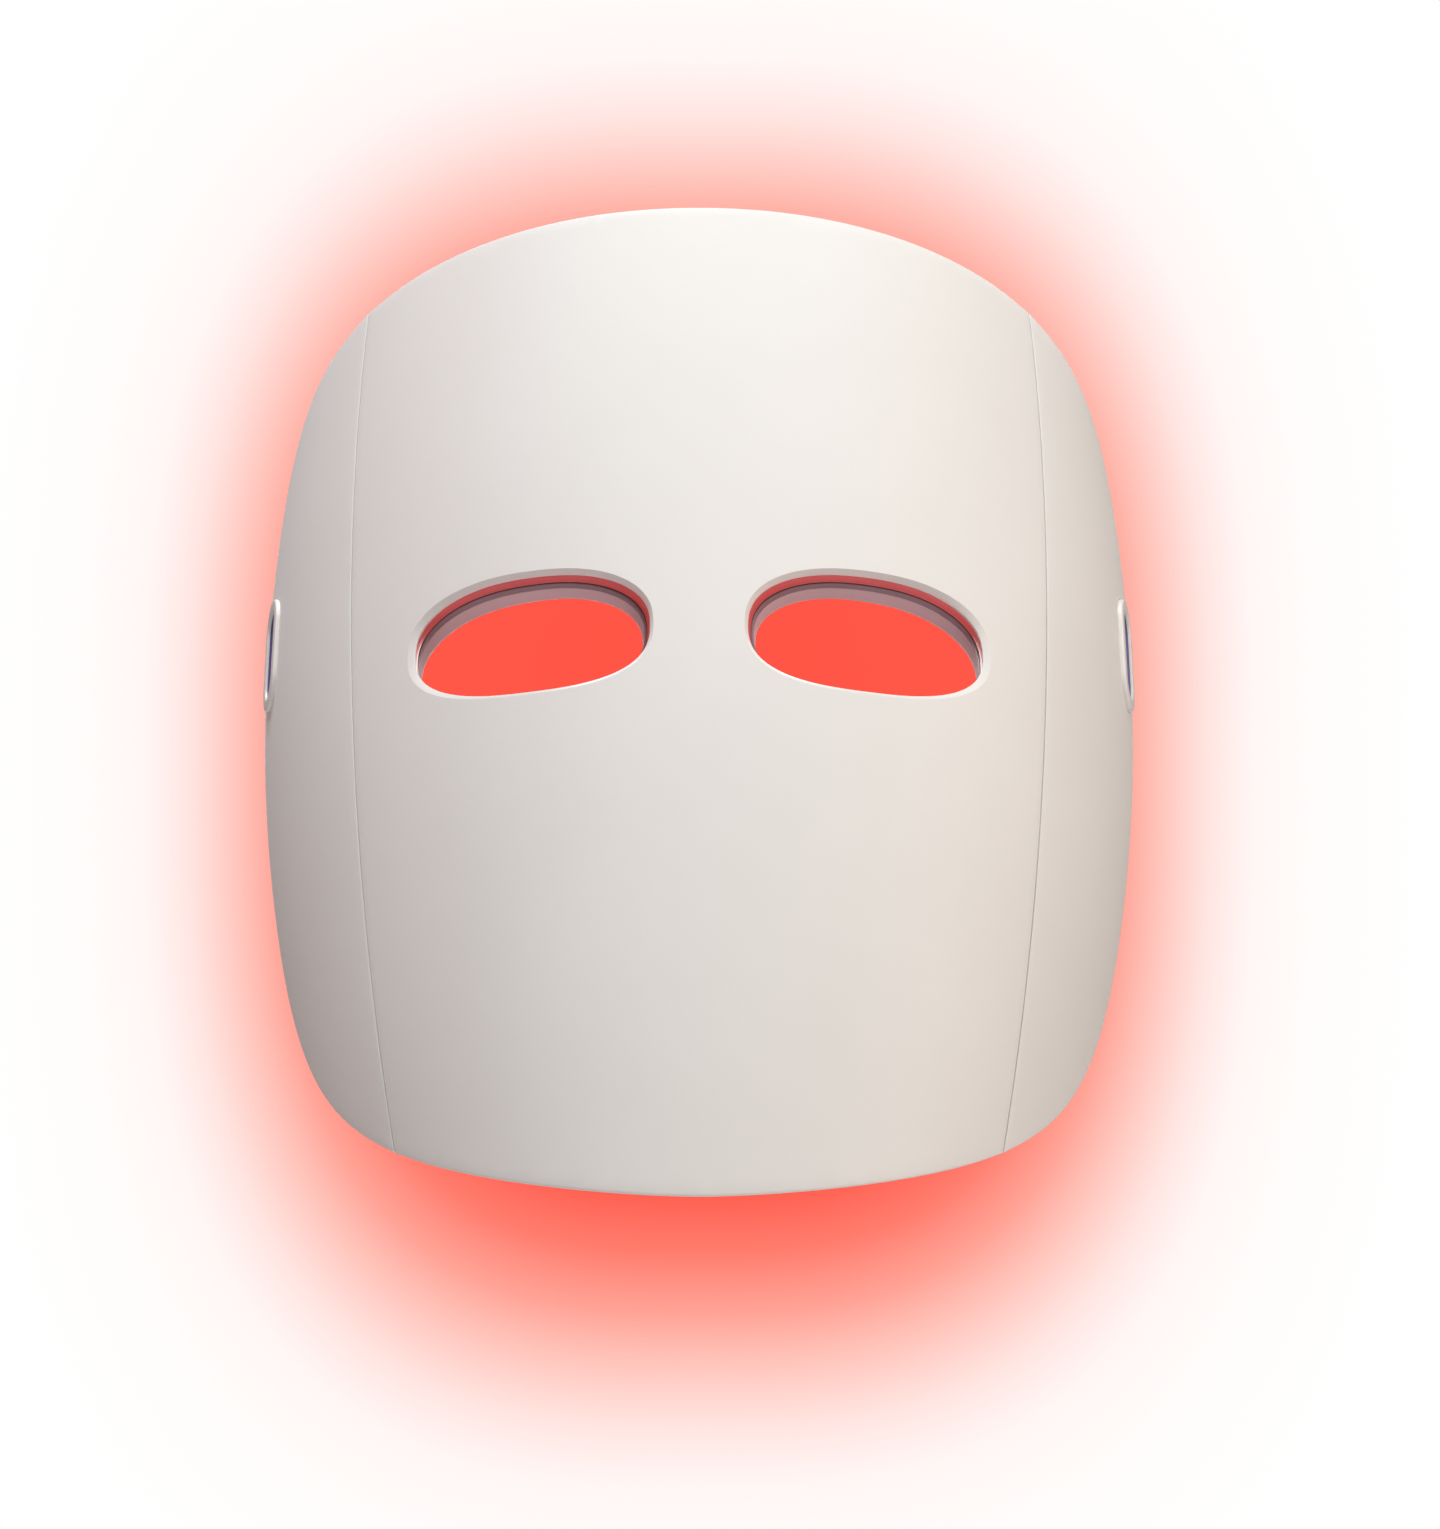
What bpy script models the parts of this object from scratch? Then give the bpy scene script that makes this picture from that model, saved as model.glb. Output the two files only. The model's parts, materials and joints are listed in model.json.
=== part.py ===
"""LED face mask: a curved front panel with a hinged wing on each side.

Units are metres, +Z is up and the mask looks along -Y.  The origin is the centre of the
nose rest's rear face, level with the wearer's eyes.  Left and right are the wearer's, so
+X is the left side.  Every piece of the wall is a layer of one curved surface, and a
layer's depth is measured inwards from that surface.
"""
import math

import bmesh
import bpy
import numpy as np
from mathutils import Matrix, Vector

MM = 0.001
CUT_SCALE = 1000.0

# Plan of the wall at its widest level: an arc whose heading eases from 0 to SIDE_HEADING.
# Its table runs past the rim to PLAN_REACH, a share of the half wrap.
HALF_WRAP = 139.5 * MM
SIDE_HEADING = 1.428
HEADING_EASE = 0.21
PLAN_REACH = 1.1
PLAN_STEPS = 400

# Elevation of the wall: a long bow, and a taper that grows above and below WIDE_LEVEL.
BOW_RADIUS = 1100 * MM
BOW_LEVEL = -18 * MM
WIDE_LEVEL = 20 * MM
TAPER_SPAN = 100 * MM
TAPER_UP = 0.146
TAPER_DOWN = 0.157

# Outline: two half superellipses that meet along a line dropping towards the sides.
MIDLINE_LEVEL = -25.3 * MM
MIDLINE_DROP = 19.7 * MM
TOP_REACH = 121 * MM
TOP_POWER = 7.6
BOTTOM_REACH = 89 * MM
BOTTOM_POWER = 1.88
# The lower rim rises by this share of the depth, so that its wall slants back.
BOTTOM_DRAFT = 0.17

# Layers of the wall, as depths below the outer surface.
FRONT_REACH = 16 * MM
SHELL_SKIN = 1.8 * MM
BOARD_DEPTHS = (8.6 * MM, 9.2 * MM)
LED_TOP_DEPTH = 10.2 * MM
LENS_DEPTHS = (11.1 * MM, 12.1 * MM)
WALL_DEPTH = 12.5 * MM
RIM_WALL = 1.6 * MM
SEAM_WALL = 1.3 * MM
GAP = 0.35 * MM
LAYER_CELLS = (16, 10)
ROUND_STEPS = 12
SMALL_ROUND_STEPS = 8
CORRECTION_STEPS = 8
SHARP_ANGLE = math.radians(35)

# Seam plane and hinge axis of the left wing; the right wing mirrors them.  The seam is
# looked for between two wraps.
SEAM_X = 72.3 * MM
SEAM_LEAN = 0.106
SEAM_TOP = 86 * MM
SEAM_BOTTOM = -96 * MM
SEAM_WRAPS = (0.1, 1.0)
HALVING_STEPS = 40
AXIS_END_DEPTH = 5 * MM
SEAM_GAP = 0.5 * MM
FOLD_RANGE = math.radians(40)
FOLD_MARGIN = math.radians(1)
PRISM_REACH = 160 * MM
PRISM_BACK = 60 * MM

# Butt hinges, centred on the hinge axis at these levels.
HINGE_LEVELS = {"upper": 62 * MM, "lower": -72 * MM}
BARREL_RADIUS = 2.5 * MM
PIN_RADIUS = 1.0 * MM
PIN_BORE_RADIUS = 1.3 * MM
KNUCKLE_LENGTH = 6 * MM
KNUCKLE_GAP = 0.4 * MM
LEAF_BACK = 1.3 * MM
LEAF_THICK = 0.9 * MM
LEAF_START = 3.0 * MM
LEAF_WIDTH = 9 * MM
POCKET_MARGIN = 0.5 * MM
JOIN_INSET = 0.1 * MM

# Eye openings: superellipses seen from the front.
EYE_X = 33.9 * MM
EYE_HALF_WIDTH = 24.9 * MM
EYE_HALF_HEIGHT = 13.4 * MM
EYE_POWER = 2.43
EYE_STEPS = 28
EYE_POCKET = 1.9 * MM
EYE_CUT_SPAN = (-40 * MM, 60 * MM)
EYE_RING_WIDTH = 1.5 * MM
# Rings behind the opening, as (step inwards, front depth, back depth).
EYE_RINGS = {
    "eye_light_ring": (0.4 * MM, 2.5 * MM, 4.2 * MM),
    "eye_seal": (0.6 * MM, 4.5 * MM, 5.1 * MM),
    "eye_frame": (0.9 * MM, 5.4 * MM, 7.0 * MM),
}
EYE_CUSHION = (1.4 * MM, 7.3 * MM, 14.8 * MM)
CUSHION_EDGE = 1 * MM

# Strap slots: upright pills through the wings.
SLOT_WRAP = 0.90
SLOT_LEVEL = 20.5 * MM
SLOT_WIDTH = 8 * MM
SLOT_HEIGHT = 20 * MM
SLEEVE_WALL = 0.9 * MM
BEZEL_WALL = 1.5 * MM
BEZEL_LIFT = 0.8 * MM
BEZEL_SINK = 1.2 * MM
SLEEVE_TAIL = 0.8 * MM
PILL_STEPS = 7

# Screws that hold the LED boards to bosses on the shells, at (wrap, level).
FRONT_SCREWS = ((0.40, 76 * MM), (0.33, -76 * MM))
WING_SCREWS = ((0.84, 60 * MM), (0.84, -58 * MM))
BOSS_RADIUS = 2.3 * MM
BOSS_BORE_RADIUS = 1.15 * MM
SCREW_RADIUS = 0.8 * MM
SCREW_LENGTH = 5.5 * MM
SCREW_SEAT_GAP = 0.65 * MM
SCREW_HEAD_RADIUS = 1.6 * MM
SCREW_HEAD_HEIGHT = 0.8 * MM

# LED packages on the boards.
LED_SIZE = 2.8 * MM
LED_PITCH = 23 * MM
LED_EDGE = 7 * MM
LED_EYE_MARGIN = 5 * MM

# Electronics behind the forehead.
CONTROL_SIZE = (44 * MM, 1 * MM, 20 * MM)
CONTROL_DEPTH = 6.3 * MM
CONTROL_TOP_DROP = 9.5 * MM
BATTERY_SIZE = (38 * MM, 3.4 * MM, 30 * MM)
BATTERY_DEPTH = 5.7 * MM
BATTERY_LEVEL = 46 * MM
BATTERY_ROUNDING = 0.8 * MM
TOP_PART_DEPTH = 3.9 * MM
BUTTON_X = -15 * MM
BUTTON_SIZE = (9 * MM, 2.6 * MM)
BUTTON_PROUD = 1.2 * MM
BUTTON_HEIGHT = 4.6 * MM
BUTTON_FLANGE = 1.2 * MM
SWITCH_SIZE = (4 * MM, 2.2 * MM, 2.0 * MM)
SWITCH_DROP = 6.2 * MM
PORT_X = 15 * MM
PORT_SIZE = (8.9 * MM, 3.2 * MM, 7.2 * MM)
PORT_WALL = 0.4 * MM
PORT_DEPTH_LEFT = 1.2 * MM
WINDOW_RADIUS = 1.1 * MM
WINDOW_LENGTH = 5 * MM

# Soft pads that touch the wearer.
NOSE_REST_SIZE = (9 * MM, 26 * MM)
BROW_PAD_SIZE = (46 * MM, 12 * MM)
BROW_PAD_LEVEL = 66 * MM
PAD_THICK = 3 * MM
PAD_ROUNDING = 1.2 * MM
PAD_GAP = 0.8 * MM


# ---------------------------------------------------------------- curved surface

def heading(wrap):
    """Angle of the plan curve at a share of the half wrap."""
    eased = wrap * wrap * (3 - 2 * wrap)
    return SIDE_HEADING * ((1 - HEADING_EASE) * wrap + HEADING_EASE * eased)


def plan_table():
    """The plan curve as arrays of wrap, x and y, summed along its heading."""
    wraps = np.linspace(0, PLAN_REACH, PLAN_STEPS + 1)
    angles = heading(wraps)
    step = HALF_WRAP * (wraps[1] - wraps[0])
    x_steps = step * (np.cos(angles[1:]) + np.cos(angles[:-1])) / 2
    y_steps = step * (np.sin(angles[1:]) + np.sin(angles[:-1])) / 2
    return wraps, np.append(0, np.cumsum(x_steps)), np.append(0, np.cumsum(y_steps))


PLAN_WRAP, PLAN_X, PLAN_Y = plan_table()


def taper_strength(level):
    """How fast the wall narrows on the side of WIDE_LEVEL that a level lies on."""
    return TAPER_UP if level > WIDE_LEVEL else TAPER_DOWN


def taper(level):
    """Width factor of the plan at a level."""
    return 1 - taper_strength(level) * ((level - WIDE_LEVEL) / TAPER_SPAN) ** 2


def taper_slope(level):
    """Change of the width factor with the level."""
    return -2 * taper_strength(level) * (level - WIDE_LEVEL) / TAPER_SPAN ** 2


def wall_point(wrap, level, depth=0.0):
    """Point of the wall at a signed wrap, a level and a depth below the surface."""
    side = math.copysign(1, wrap)
    plan_x = side * float(np.interp(abs(wrap), PLAN_WRAP, PLAN_X))
    plan_y = float(np.interp(abs(wrap), PLAN_WRAP, PLAN_Y))
    factor = taper(level)
    drop = math.sqrt(BOW_RADIUS ** 2 - (level - BOW_LEVEL) ** 2)
    point = Vector((plan_x * factor, BOW_RADIUS - drop + plan_y * factor - FRONT_REACH, level))
    return point - depth * wall_normal(wrap, level)


def wall_normal(wrap, level):
    """Outward normal of the wall."""
    side = math.copysign(1, wrap)
    angle = heading(abs(wrap))
    plan_x = side * float(np.interp(abs(wrap), PLAN_WRAP, PLAN_X))
    plan_y = float(np.interp(abs(wrap), PLAN_WRAP, PLAN_Y))
    slope = taper_slope(level)
    bow_slope = (level - BOW_LEVEL) / math.sqrt(BOW_RADIUS ** 2 - (level - BOW_LEVEL) ** 2)
    along_plan = Vector((math.cos(angle), side * math.sin(angle), 0))
    along_height = Vector((plan_x * slope, bow_slope + plan_y * slope, 1))
    return along_plan.cross(along_height).normalized()


def wrap_at(x, level):
    """Signed wrap of the surface point at an x and a level."""
    return math.copysign(float(np.interp(abs(x) / taper(level), PLAN_X, PLAN_WRAP)), x)


def depth_point(x, level, depth):
    """Point at an x and a level on the layer at a depth, found by repeated correction."""
    wrap = wrap_at(x, level)
    foot = level
    for _ in range(CORRECTION_STEPS):
        point = wall_point(wrap, foot, depth)
        wrap += (x - point.x) / (HALF_WRAP * math.cos(heading(abs(wrap))))
        foot += level - point.z
    return point


def wall_frame(wrap, level, depth=0.0):
    """Matrix at a wall point: local Z outward, local Y up the wall."""
    outward = wall_normal(wrap, level)
    across = Vector((0, 0, 1)).cross(outward).normalized()
    return frame_matrix(wall_point(wrap, level, depth), across, outward.cross(across), outward)


def frame_matrix(origin, x_axis, y_axis, z_axis):
    """Matrix whose columns are the given axes and origin."""
    matrix = Matrix.Identity(4)
    for column, vector in enumerate((x_axis, y_axis, z_axis, origin)):
        for row in range(3):
            matrix[row][column] = vector[row]
    return matrix


def outline_point(across, up, inset, depth):
    """Wrap and level for a point of the square -1..1, whose border is the rim at a depth."""
    reach = max(abs(across), abs(up))
    if reach == 0:
        return 0.0, MIDLINE_LEVEL
    power = TOP_POWER if up > 0 else BOTTOM_POWER
    height = TOP_REACH if up > 0 else BOTTOM_REACH - BOTTOM_DRAFT * depth
    spread = (abs(across) / reach) ** power + (abs(up) / reach) ** power
    fade = spread ** (-1 / power)
    wrap = across * fade * (1 - inset / HALF_WRAP)
    return wrap, MIDLINE_LEVEL - MIDLINE_DROP * wrap * wrap + up * fade * (height - inset)


# ---------------------------------------------------------------- mesh helpers

def clear_scene():
    """Remove what the scene holds."""
    for obj in list(bpy.data.objects):
        bpy.data.objects.remove(obj, do_unlink=True)


def add_object(name, mesh_builder, material=None):
    """Object made from a bmesh, which is freed."""
    mesh = bpy.data.meshes.new(name)
    mesh_builder.to_mesh(mesh)
    mesh_builder.free()
    obj = bpy.data.objects.new(name, mesh)
    bpy.context.scene.collection.objects.link(obj)
    if material:
        mesh.materials.append(material)
    return obj


def loops_solid(loops, closed=False):
    """Solid skinned over loops of points, capped at both ends or closed on itself."""
    builder = bmesh.new()
    rows = [[builder.verts.new(point) for point in loop] for loop in loops]
    count = len(rows[0])
    pairs = list(zip(rows, rows[1:]))
    if closed:
        pairs.append((rows[-1], rows[0]))
    for lower, upper in pairs:
        for i in range(count):
            j = (i + 1) % count
            builder.faces.new((lower[i], lower[j], upper[j], upper[i]))
    if not closed:
        builder.faces.new(list(reversed(rows[0])))
        builder.faces.new(rows[-1])
    bmesh.ops.recalc_face_normals(builder, faces=builder.faces)
    return builder


def layer_solid(depths, inset, cells):
    """Whole wall layer between two depths, with its rim moved in by inset."""
    builder = bmesh.new()
    across_cells, up_cells = cells
    grids = []
    for depth in depths:
        grid = []
        for j in range(up_cells + 1):
            row = []
            for i in range(across_cells + 1):
                square = (2 * i / across_cells - 1, 2 * j / up_cells - 1)
                wrap, level = outline_point(*square, inset, depth)
                row.append(builder.verts.new(wall_point(wrap, level, depth)))
            grid.append(row)
        grids.append(grid)
    outer, inner = grids
    for j in range(up_cells):
        for i in range(across_cells):
            corners = ((j, i), (j, i + 1), (j + 1, i + 1), (j + 1, i))
            builder.faces.new([outer[a][b] for a, b in corners])
            builder.faces.new([inner[a][b] for a, b in reversed(corners)])
    border = [(0, i) for i in range(across_cells)]
    border += [(j, across_cells) for j in range(up_cells)]
    border += [(up_cells, i) for i in range(across_cells, 0, -1)]
    border += [(j, 0) for j in range(up_cells, 0, -1)]
    for here, there in zip(border, border[1:] + border[:1]):
        a, b = outer[here[0]][here[1]], outer[there[0]][there[1]]
        c, d = inner[there[0]][there[1]], inner[here[0]][here[1]]
        builder.faces.new((a, d, c, b))
    bmesh.ops.triangulate(builder, faces=builder.faces)
    return builder


def pill_points(width, height):
    """Outline of an upright or lying pill in the local XY plane."""
    radius = min(width, height) / 2
    reach = abs(width - height) / 2
    points = []
    for end in (1, -1):
        for i in range(PILL_STEPS + 1):
            angle = math.pi * i / PILL_STEPS
            across = end * radius * math.cos(angle)
            along = end * (reach + radius * math.sin(angle))
            points.append((across, along) if height > width else (along, -across))
    return points


def ring_points(radius, steps):
    """Circle in the local XY plane."""
    angles = [2 * math.pi * i / steps for i in range(steps)]
    return [(radius * math.cos(angle), radius * math.sin(angle)) for angle in angles]


def stack(matrix, sections):
    """World loops from (outline, local z) sections."""
    return [[matrix @ Vector((x, y, z)) for x, y in outline] for outline, z in sections]


def box_builder(matrix, low, high):
    """Box between two corners of a local frame."""
    outline = ((low[0], low[1]), (high[0], low[1]), (high[0], high[1]), (low[0], high[1]))
    return loops_solid(stack(matrix, ((outline, low[2]), (outline, high[2]))))


def centred_box(matrix, size):
    """Box of (width, thickness, height) centred on a wall frame, its thickness outward."""
    width, thick, height = size
    corner = (width / 2, height / 2, thick / 2)
    return box_builder(matrix, [-half for half in corner], corner)


def boolean(target, builders, operation):
    """Cut an object with solids, join it to them or intersect it with them, all at once.

    Every shape is enlarged for the cut, because the solver's tolerances suit large ones.
    """
    target.data.transform(Matrix.Scale(CUT_SCALE, 4))
    cutters = bpy.data.collections.new("cutters")
    for builder in builders:
        bmesh.ops.scale(builder, vec=(CUT_SCALE,) * 3, verts=builder.verts)
        bmesh.ops.triangulate(builder, faces=builder.faces)
        cutters.objects.link(add_object("cutter", builder))
    modifier = target.modifiers.new("boolean", "BOOLEAN")
    modifier.operation = operation
    modifier.solver = "EXACT"
    modifier.operand_type = "COLLECTION"
    modifier.collection = cutters
    bpy.context.view_layer.update()
    evaluated = target.evaluated_get(bpy.context.evaluated_depsgraph_get())
    mesh = bpy.data.meshes.new_from_object(evaluated)
    target.modifiers.clear()
    old_mesh = target.data
    target.data = mesh
    bpy.data.meshes.remove(old_mesh)
    for cutter in list(cutters.objects):
        bpy.data.objects.remove(cutter, do_unlink=True)
    bpy.data.collections.remove(cutters)
    mesh.transform(Matrix.Scale(1 / CUT_SCALE, 4))


def mirror_builder(builder):
    """Mirror a solid across the middle plane, in place."""
    bmesh.ops.scale(builder, vec=(-1, 1, 1), verts=builder.verts)
    bmesh.ops.reverse_faces(builder, faces=builder.faces)
    return builder


def mirrored(name, source):
    """Mirror image of an object across the middle plane."""
    builder = bmesh.new()
    builder.from_mesh(source.data)
    return add_object(name, mirror_builder(builder), source.data.materials[0])


def set_origin(obj, point):
    """Move an object's origin to a world point, leaving its shape in place."""
    obj.data.transform(Matrix.Translation(-point))
    obj.location = point


def material(name, color, roughness, metallic=0.0):
    """Principled material."""
    result = bpy.data.materials.new(name)
    result.use_nodes = True
    shader = result.node_tree.nodes["Principled BSDF"]
    shader.inputs["Base Color"].default_value = (*color, 1)
    shader.inputs["Roughness"].default_value = roughness
    shader.inputs["Metallic"].default_value = metallic
    return result


# ---------------------------------------------------------------- seam and hinge frames

def seam_surface_point(level, plane_point, plane_normal):
    """Point of the surface on the seam plane at a level, found by halving."""
    low, high = SEAM_WRAPS
    for _ in range(HALVING_STEPS):
        middle = (low + high) / 2
        if (wall_point(middle, level) - plane_point).dot(plane_normal) > 0:
            high = middle
        else:
            low = middle
    return wall_point(low, level)


def seam_matrix():
    """Frame on the hinge axis: local X outward, Y towards the wing, Z up the axis."""
    wrap = wrap_at(SEAM_X, WIDE_LEVEL)
    plane_point = wall_point(wrap, WIDE_LEVEL)
    angle = heading(wrap)
    outward = Vector((math.sin(angle), -math.cos(angle), 0))
    plane_normal = Vector((SEAM_LEAN, 0, 1)).cross(outward)
    top = seam_surface_point(SEAM_TOP, plane_point, plane_normal) - AXIS_END_DEPTH * outward
    bottom = seam_surface_point(SEAM_BOTTOM, plane_point, plane_normal) - AXIS_END_DEPTH * outward
    along = (top - bottom).normalized()
    outward = (outward - outward.dot(along) * along).normalized()
    return frame_matrix((top + bottom) / 2, outward, along.cross(outward), along)


def beyond_seam(frame, offset, side):
    """Prism on the wing's side of the seam.

    side is 1 for the wing's own edge and -1 for the edge of the front panel.  Behind the
    hinge axis the edge falls away, so that the wing can fold inwards.
    """
    slope = math.tan(FOLD_RANGE / 2 + FOLD_MARGIN)
    edge = side * (SEAM_GAP / 2 + offset)
    outline = [
        (PRISM_REACH, edge),
        (PRISM_REACH, PRISM_REACH),
        (-PRISM_BACK, PRISM_REACH),
        (-PRISM_BACK, edge + side * slope * PRISM_BACK),
        (0, edge),
    ]
    return loops_solid(stack(frame, ((outline, -PRISM_REACH), (outline, PRISM_REACH))))


def hinge_frame(frame, level):
    """Seam frame moved along the hinge axis to a level."""
    travel = (level - frame.translation.z) / frame.col[2].z
    return frame @ Matrix.Translation((0, 0, travel))


def hinge_half_length():
    """Half the length of three knuckles and the gaps between them."""
    return 1.5 * KNUCKLE_LENGTH + KNUCKLE_GAP


def hinge_pockets(frame, side):
    """Room for the hinges in one panel: barrels, and the leaf that the panel holds."""
    pockets = []
    half = hinge_half_length() + POCKET_MARGIN
    for level in HINGE_LEVELS.values():
        place = hinge_frame(frame, level)
        round_room = ring_points(BARREL_RADIUS + POCKET_MARGIN, ROUND_STEPS)
        pockets.append(loops_solid(stack(place, ((round_room, -half), (round_room, half)))))
        near, far = sorted((0, side * (LEAF_START + LEAF_WIDTH + POCKET_MARGIN)))
        low = (LEAF_BACK - POCKET_MARGIN, near, -half)
        high = (LEAF_BACK + LEAF_THICK + POCKET_MARGIN, far, half)
        pockets.append(box_builder(place, low, high))
    return pockets


# ---------------------------------------------------------------- cutters

def eye_outline(margin):
    """Outline of the left eye opening grown by a margin, as (x, level) pairs."""
    points = []
    for i in range(EYE_STEPS):
        angle = 2 * math.pi * i / EYE_STEPS
        share = 2 / EYE_POWER
        right = math.copysign(abs(math.cos(angle)) ** share, math.cos(angle))
        up = math.copysign(abs(math.sin(angle)) ** share, math.sin(angle))
        points.append((EYE_X + (EYE_HALF_WIDTH + margin) * right, (EYE_HALF_HEIGHT + margin) * up))
    return points


def eye_cutters(margin):
    """Straight cutters through the wall for both eyes."""
    cutters = []
    for side in (1, -1):
        outline = [(side * x, z) for x, z in eye_outline(margin)]
        loops = [[Vector((x, y, z)) for x, z in outline] for y in EYE_CUT_SPAN]
        cutters.append(loops_solid(loops))
    return cutters


def eye_ring(name, profile, finish):
    """Left eye piece swept round the opening through (margin, depth) profile points."""
    loops = []
    for margin, depth in profile:
        loops.append([depth_point(x, z, depth) for x, z in eye_outline(margin)])
    return add_object(name, loops_solid(loops, closed=True), finish)


def slot_cutter(margin):
    """Cutter for the left strap slot through the whole wall."""
    outline = pill_points(SLOT_WIDTH + 2 * margin, SLOT_HEIGHT + 2 * margin)
    place = wall_frame(SLOT_WRAP, SLOT_LEVEL)
    return loops_solid(stack(place, ((outline, -2 * WALL_DEPTH), (outline, WALL_DEPTH))))


def boss_place(spot):
    """Frame on the outer surface at a screw's (wrap, level)."""
    return wall_frame(*spot)


def cylinder_builder(place, radius, low, high, steps=ROUND_STEPS):
    """Cylinder along a frame's local Z."""
    outline = ring_points(radius, steps)
    return loops_solid(stack(place, ((outline, low), (outline, high))))


def top_point(x):
    """Rim of the wall above x, at the depth of the parts in the forehead's top edge."""
    level = TOP_REACH + MIDLINE_LEVEL
    wrap = wrap_at(x, level)
    level -= MIDLINE_DROP * wrap * wrap
    return wall_point(wrap, level, TOP_PART_DEPTH)


def upright_place(point):
    """Frame at a point with the world's axes."""
    return Matrix.Translation(point)


# ---------------------------------------------------------------- sub-parts

def front_spots():
    """All four screw places of the front panel."""
    return [(side * wrap, level) for wrap, level in FRONT_SCREWS for side in (1, -1)]


def front_edges(frame, offset):
    """Cutters that take both wings off the front panel."""
    return [beyond_seam(frame, offset, -1), mirror_builder(beyond_seam(frame, offset, -1))]


def shell(name, finish, panel_cut, cavity_cut, spots, holes):
    """Open-backed shell: the panel of the wall, less its cavity, with screw bosses."""
    result = add_object(name, layer_solid((0, WALL_DEPTH), 0, LAYER_CELLS), finish)
    panel_cut(result, 0)
    cavity = add_object("cavity", layer_solid((SHELL_SKIN, 2 * WALL_DEPTH), RIM_WALL, LAYER_CELLS))
    cavity_cut(cavity, SEAM_WALL)
    cavity_builder = bmesh.new()
    cavity_builder.from_mesh(cavity.data)
    bpy.data.objects.remove(cavity, do_unlink=True)
    boolean(result, [cavity_builder], "DIFFERENCE")
    top = -SHELL_SKIN / 2
    bottom = -(BOARD_DEPTHS[0] - GAP)
    places = [boss_place(spot) for spot in spots]
    bosses = [cylinder_builder(place, BOSS_RADIUS, bottom, top) for place in places]
    boolean(result, bosses, "UNION")
    bore_top = -(SHELL_SKIN + GAP)
    bores = [cylinder_builder(place, BOSS_BORE_RADIUS, -WALL_DEPTH, bore_top) for place in places]
    boolean(result, bores + holes, "DIFFERENCE")
    return result


def screw_holes(spots):
    """Cutters for the screw holes of a board."""
    return [cylinder_builder(boss_place(spot), BOSS_BORE_RADIUS, -WALL_DEPTH, 0) for spot in spots]


def liner(name, depths, finish, panel_cut, holes):
    """Thin layer inside a shell, clear of its rim and of its seam wall."""
    result = add_object(name, layer_solid(depths, RIM_WALL + GAP, LAYER_CELLS), finish)
    panel_cut(result, SEAM_WALL + GAP)
    boolean(result, holes, "DIFFERENCE")
    return result


def led_spots(keep):
    """Places of the LEDs on a square pitch of wrap and level that pass a test."""
    spots = []
    columns = int(HALF_WRAP / LED_PITCH)
    rows = int(TOP_REACH / LED_PITCH)
    for column in range(-columns, columns + 1):
        for row in range(-rows, rows + 1):
            wrap = column * LED_PITCH / HALF_WRAP
            level = MIDLINE_LEVEL + row * LED_PITCH
            if keep(wrap, level):
                spots.append((wrap, level))
    return spots


def inside_outline(wrap, level, inset):
    """Whether a wrap and level lie inside the rim moved in by inset."""
    up = level - MIDLINE_LEVEL + MIDLINE_DROP * wrap * wrap
    power, height = (TOP_POWER, TOP_REACH) if up > 0 else (BOTTOM_POWER, BOTTOM_REACH)
    share = abs(wrap) / (1 - inset / HALF_WRAP)
    return share ** power + (abs(up) / (height - inset)) ** power < 1


def clear_of_eyes(wrap, level):
    """Whether a place lies clear of both eye pockets."""
    x = abs(wall_point(wrap, level).x) - EYE_X
    margin = EYE_POCKET + LED_EYE_MARGIN
    share_x = abs(x) / (EYE_HALF_WIDTH + margin)
    share_z = abs(level) / (EYE_HALF_HEIGHT + margin)
    return share_x ** EYE_POWER + share_z ** EYE_POWER > 1


def far_from(spots, wrap, level, distance):
    """Whether a place is at least a distance from every spot."""
    for spot_wrap, spot_level in spots:
        if math.hypot((wrap - spot_wrap) * HALF_WRAP, level - spot_level) < distance:
            return False
    return True


def add_leds(board, spots):
    """Raise an LED package on the board at every spot."""
    half = LED_SIZE / 2
    low = (-half, -half, -LED_TOP_DEPTH)
    high = (half, half, -(BOARD_DEPTHS[0] + BOARD_DEPTHS[1]) / 2)
    boolean(board, [box_builder(wall_frame(*spot), low, high) for spot in spots], "UNION")


def seam_distance(frame, wrap, level):
    """Distance of a place from the seam plane, positive on the wing."""
    return (frame.inverted() @ wall_point(wrap, level)).y


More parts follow.
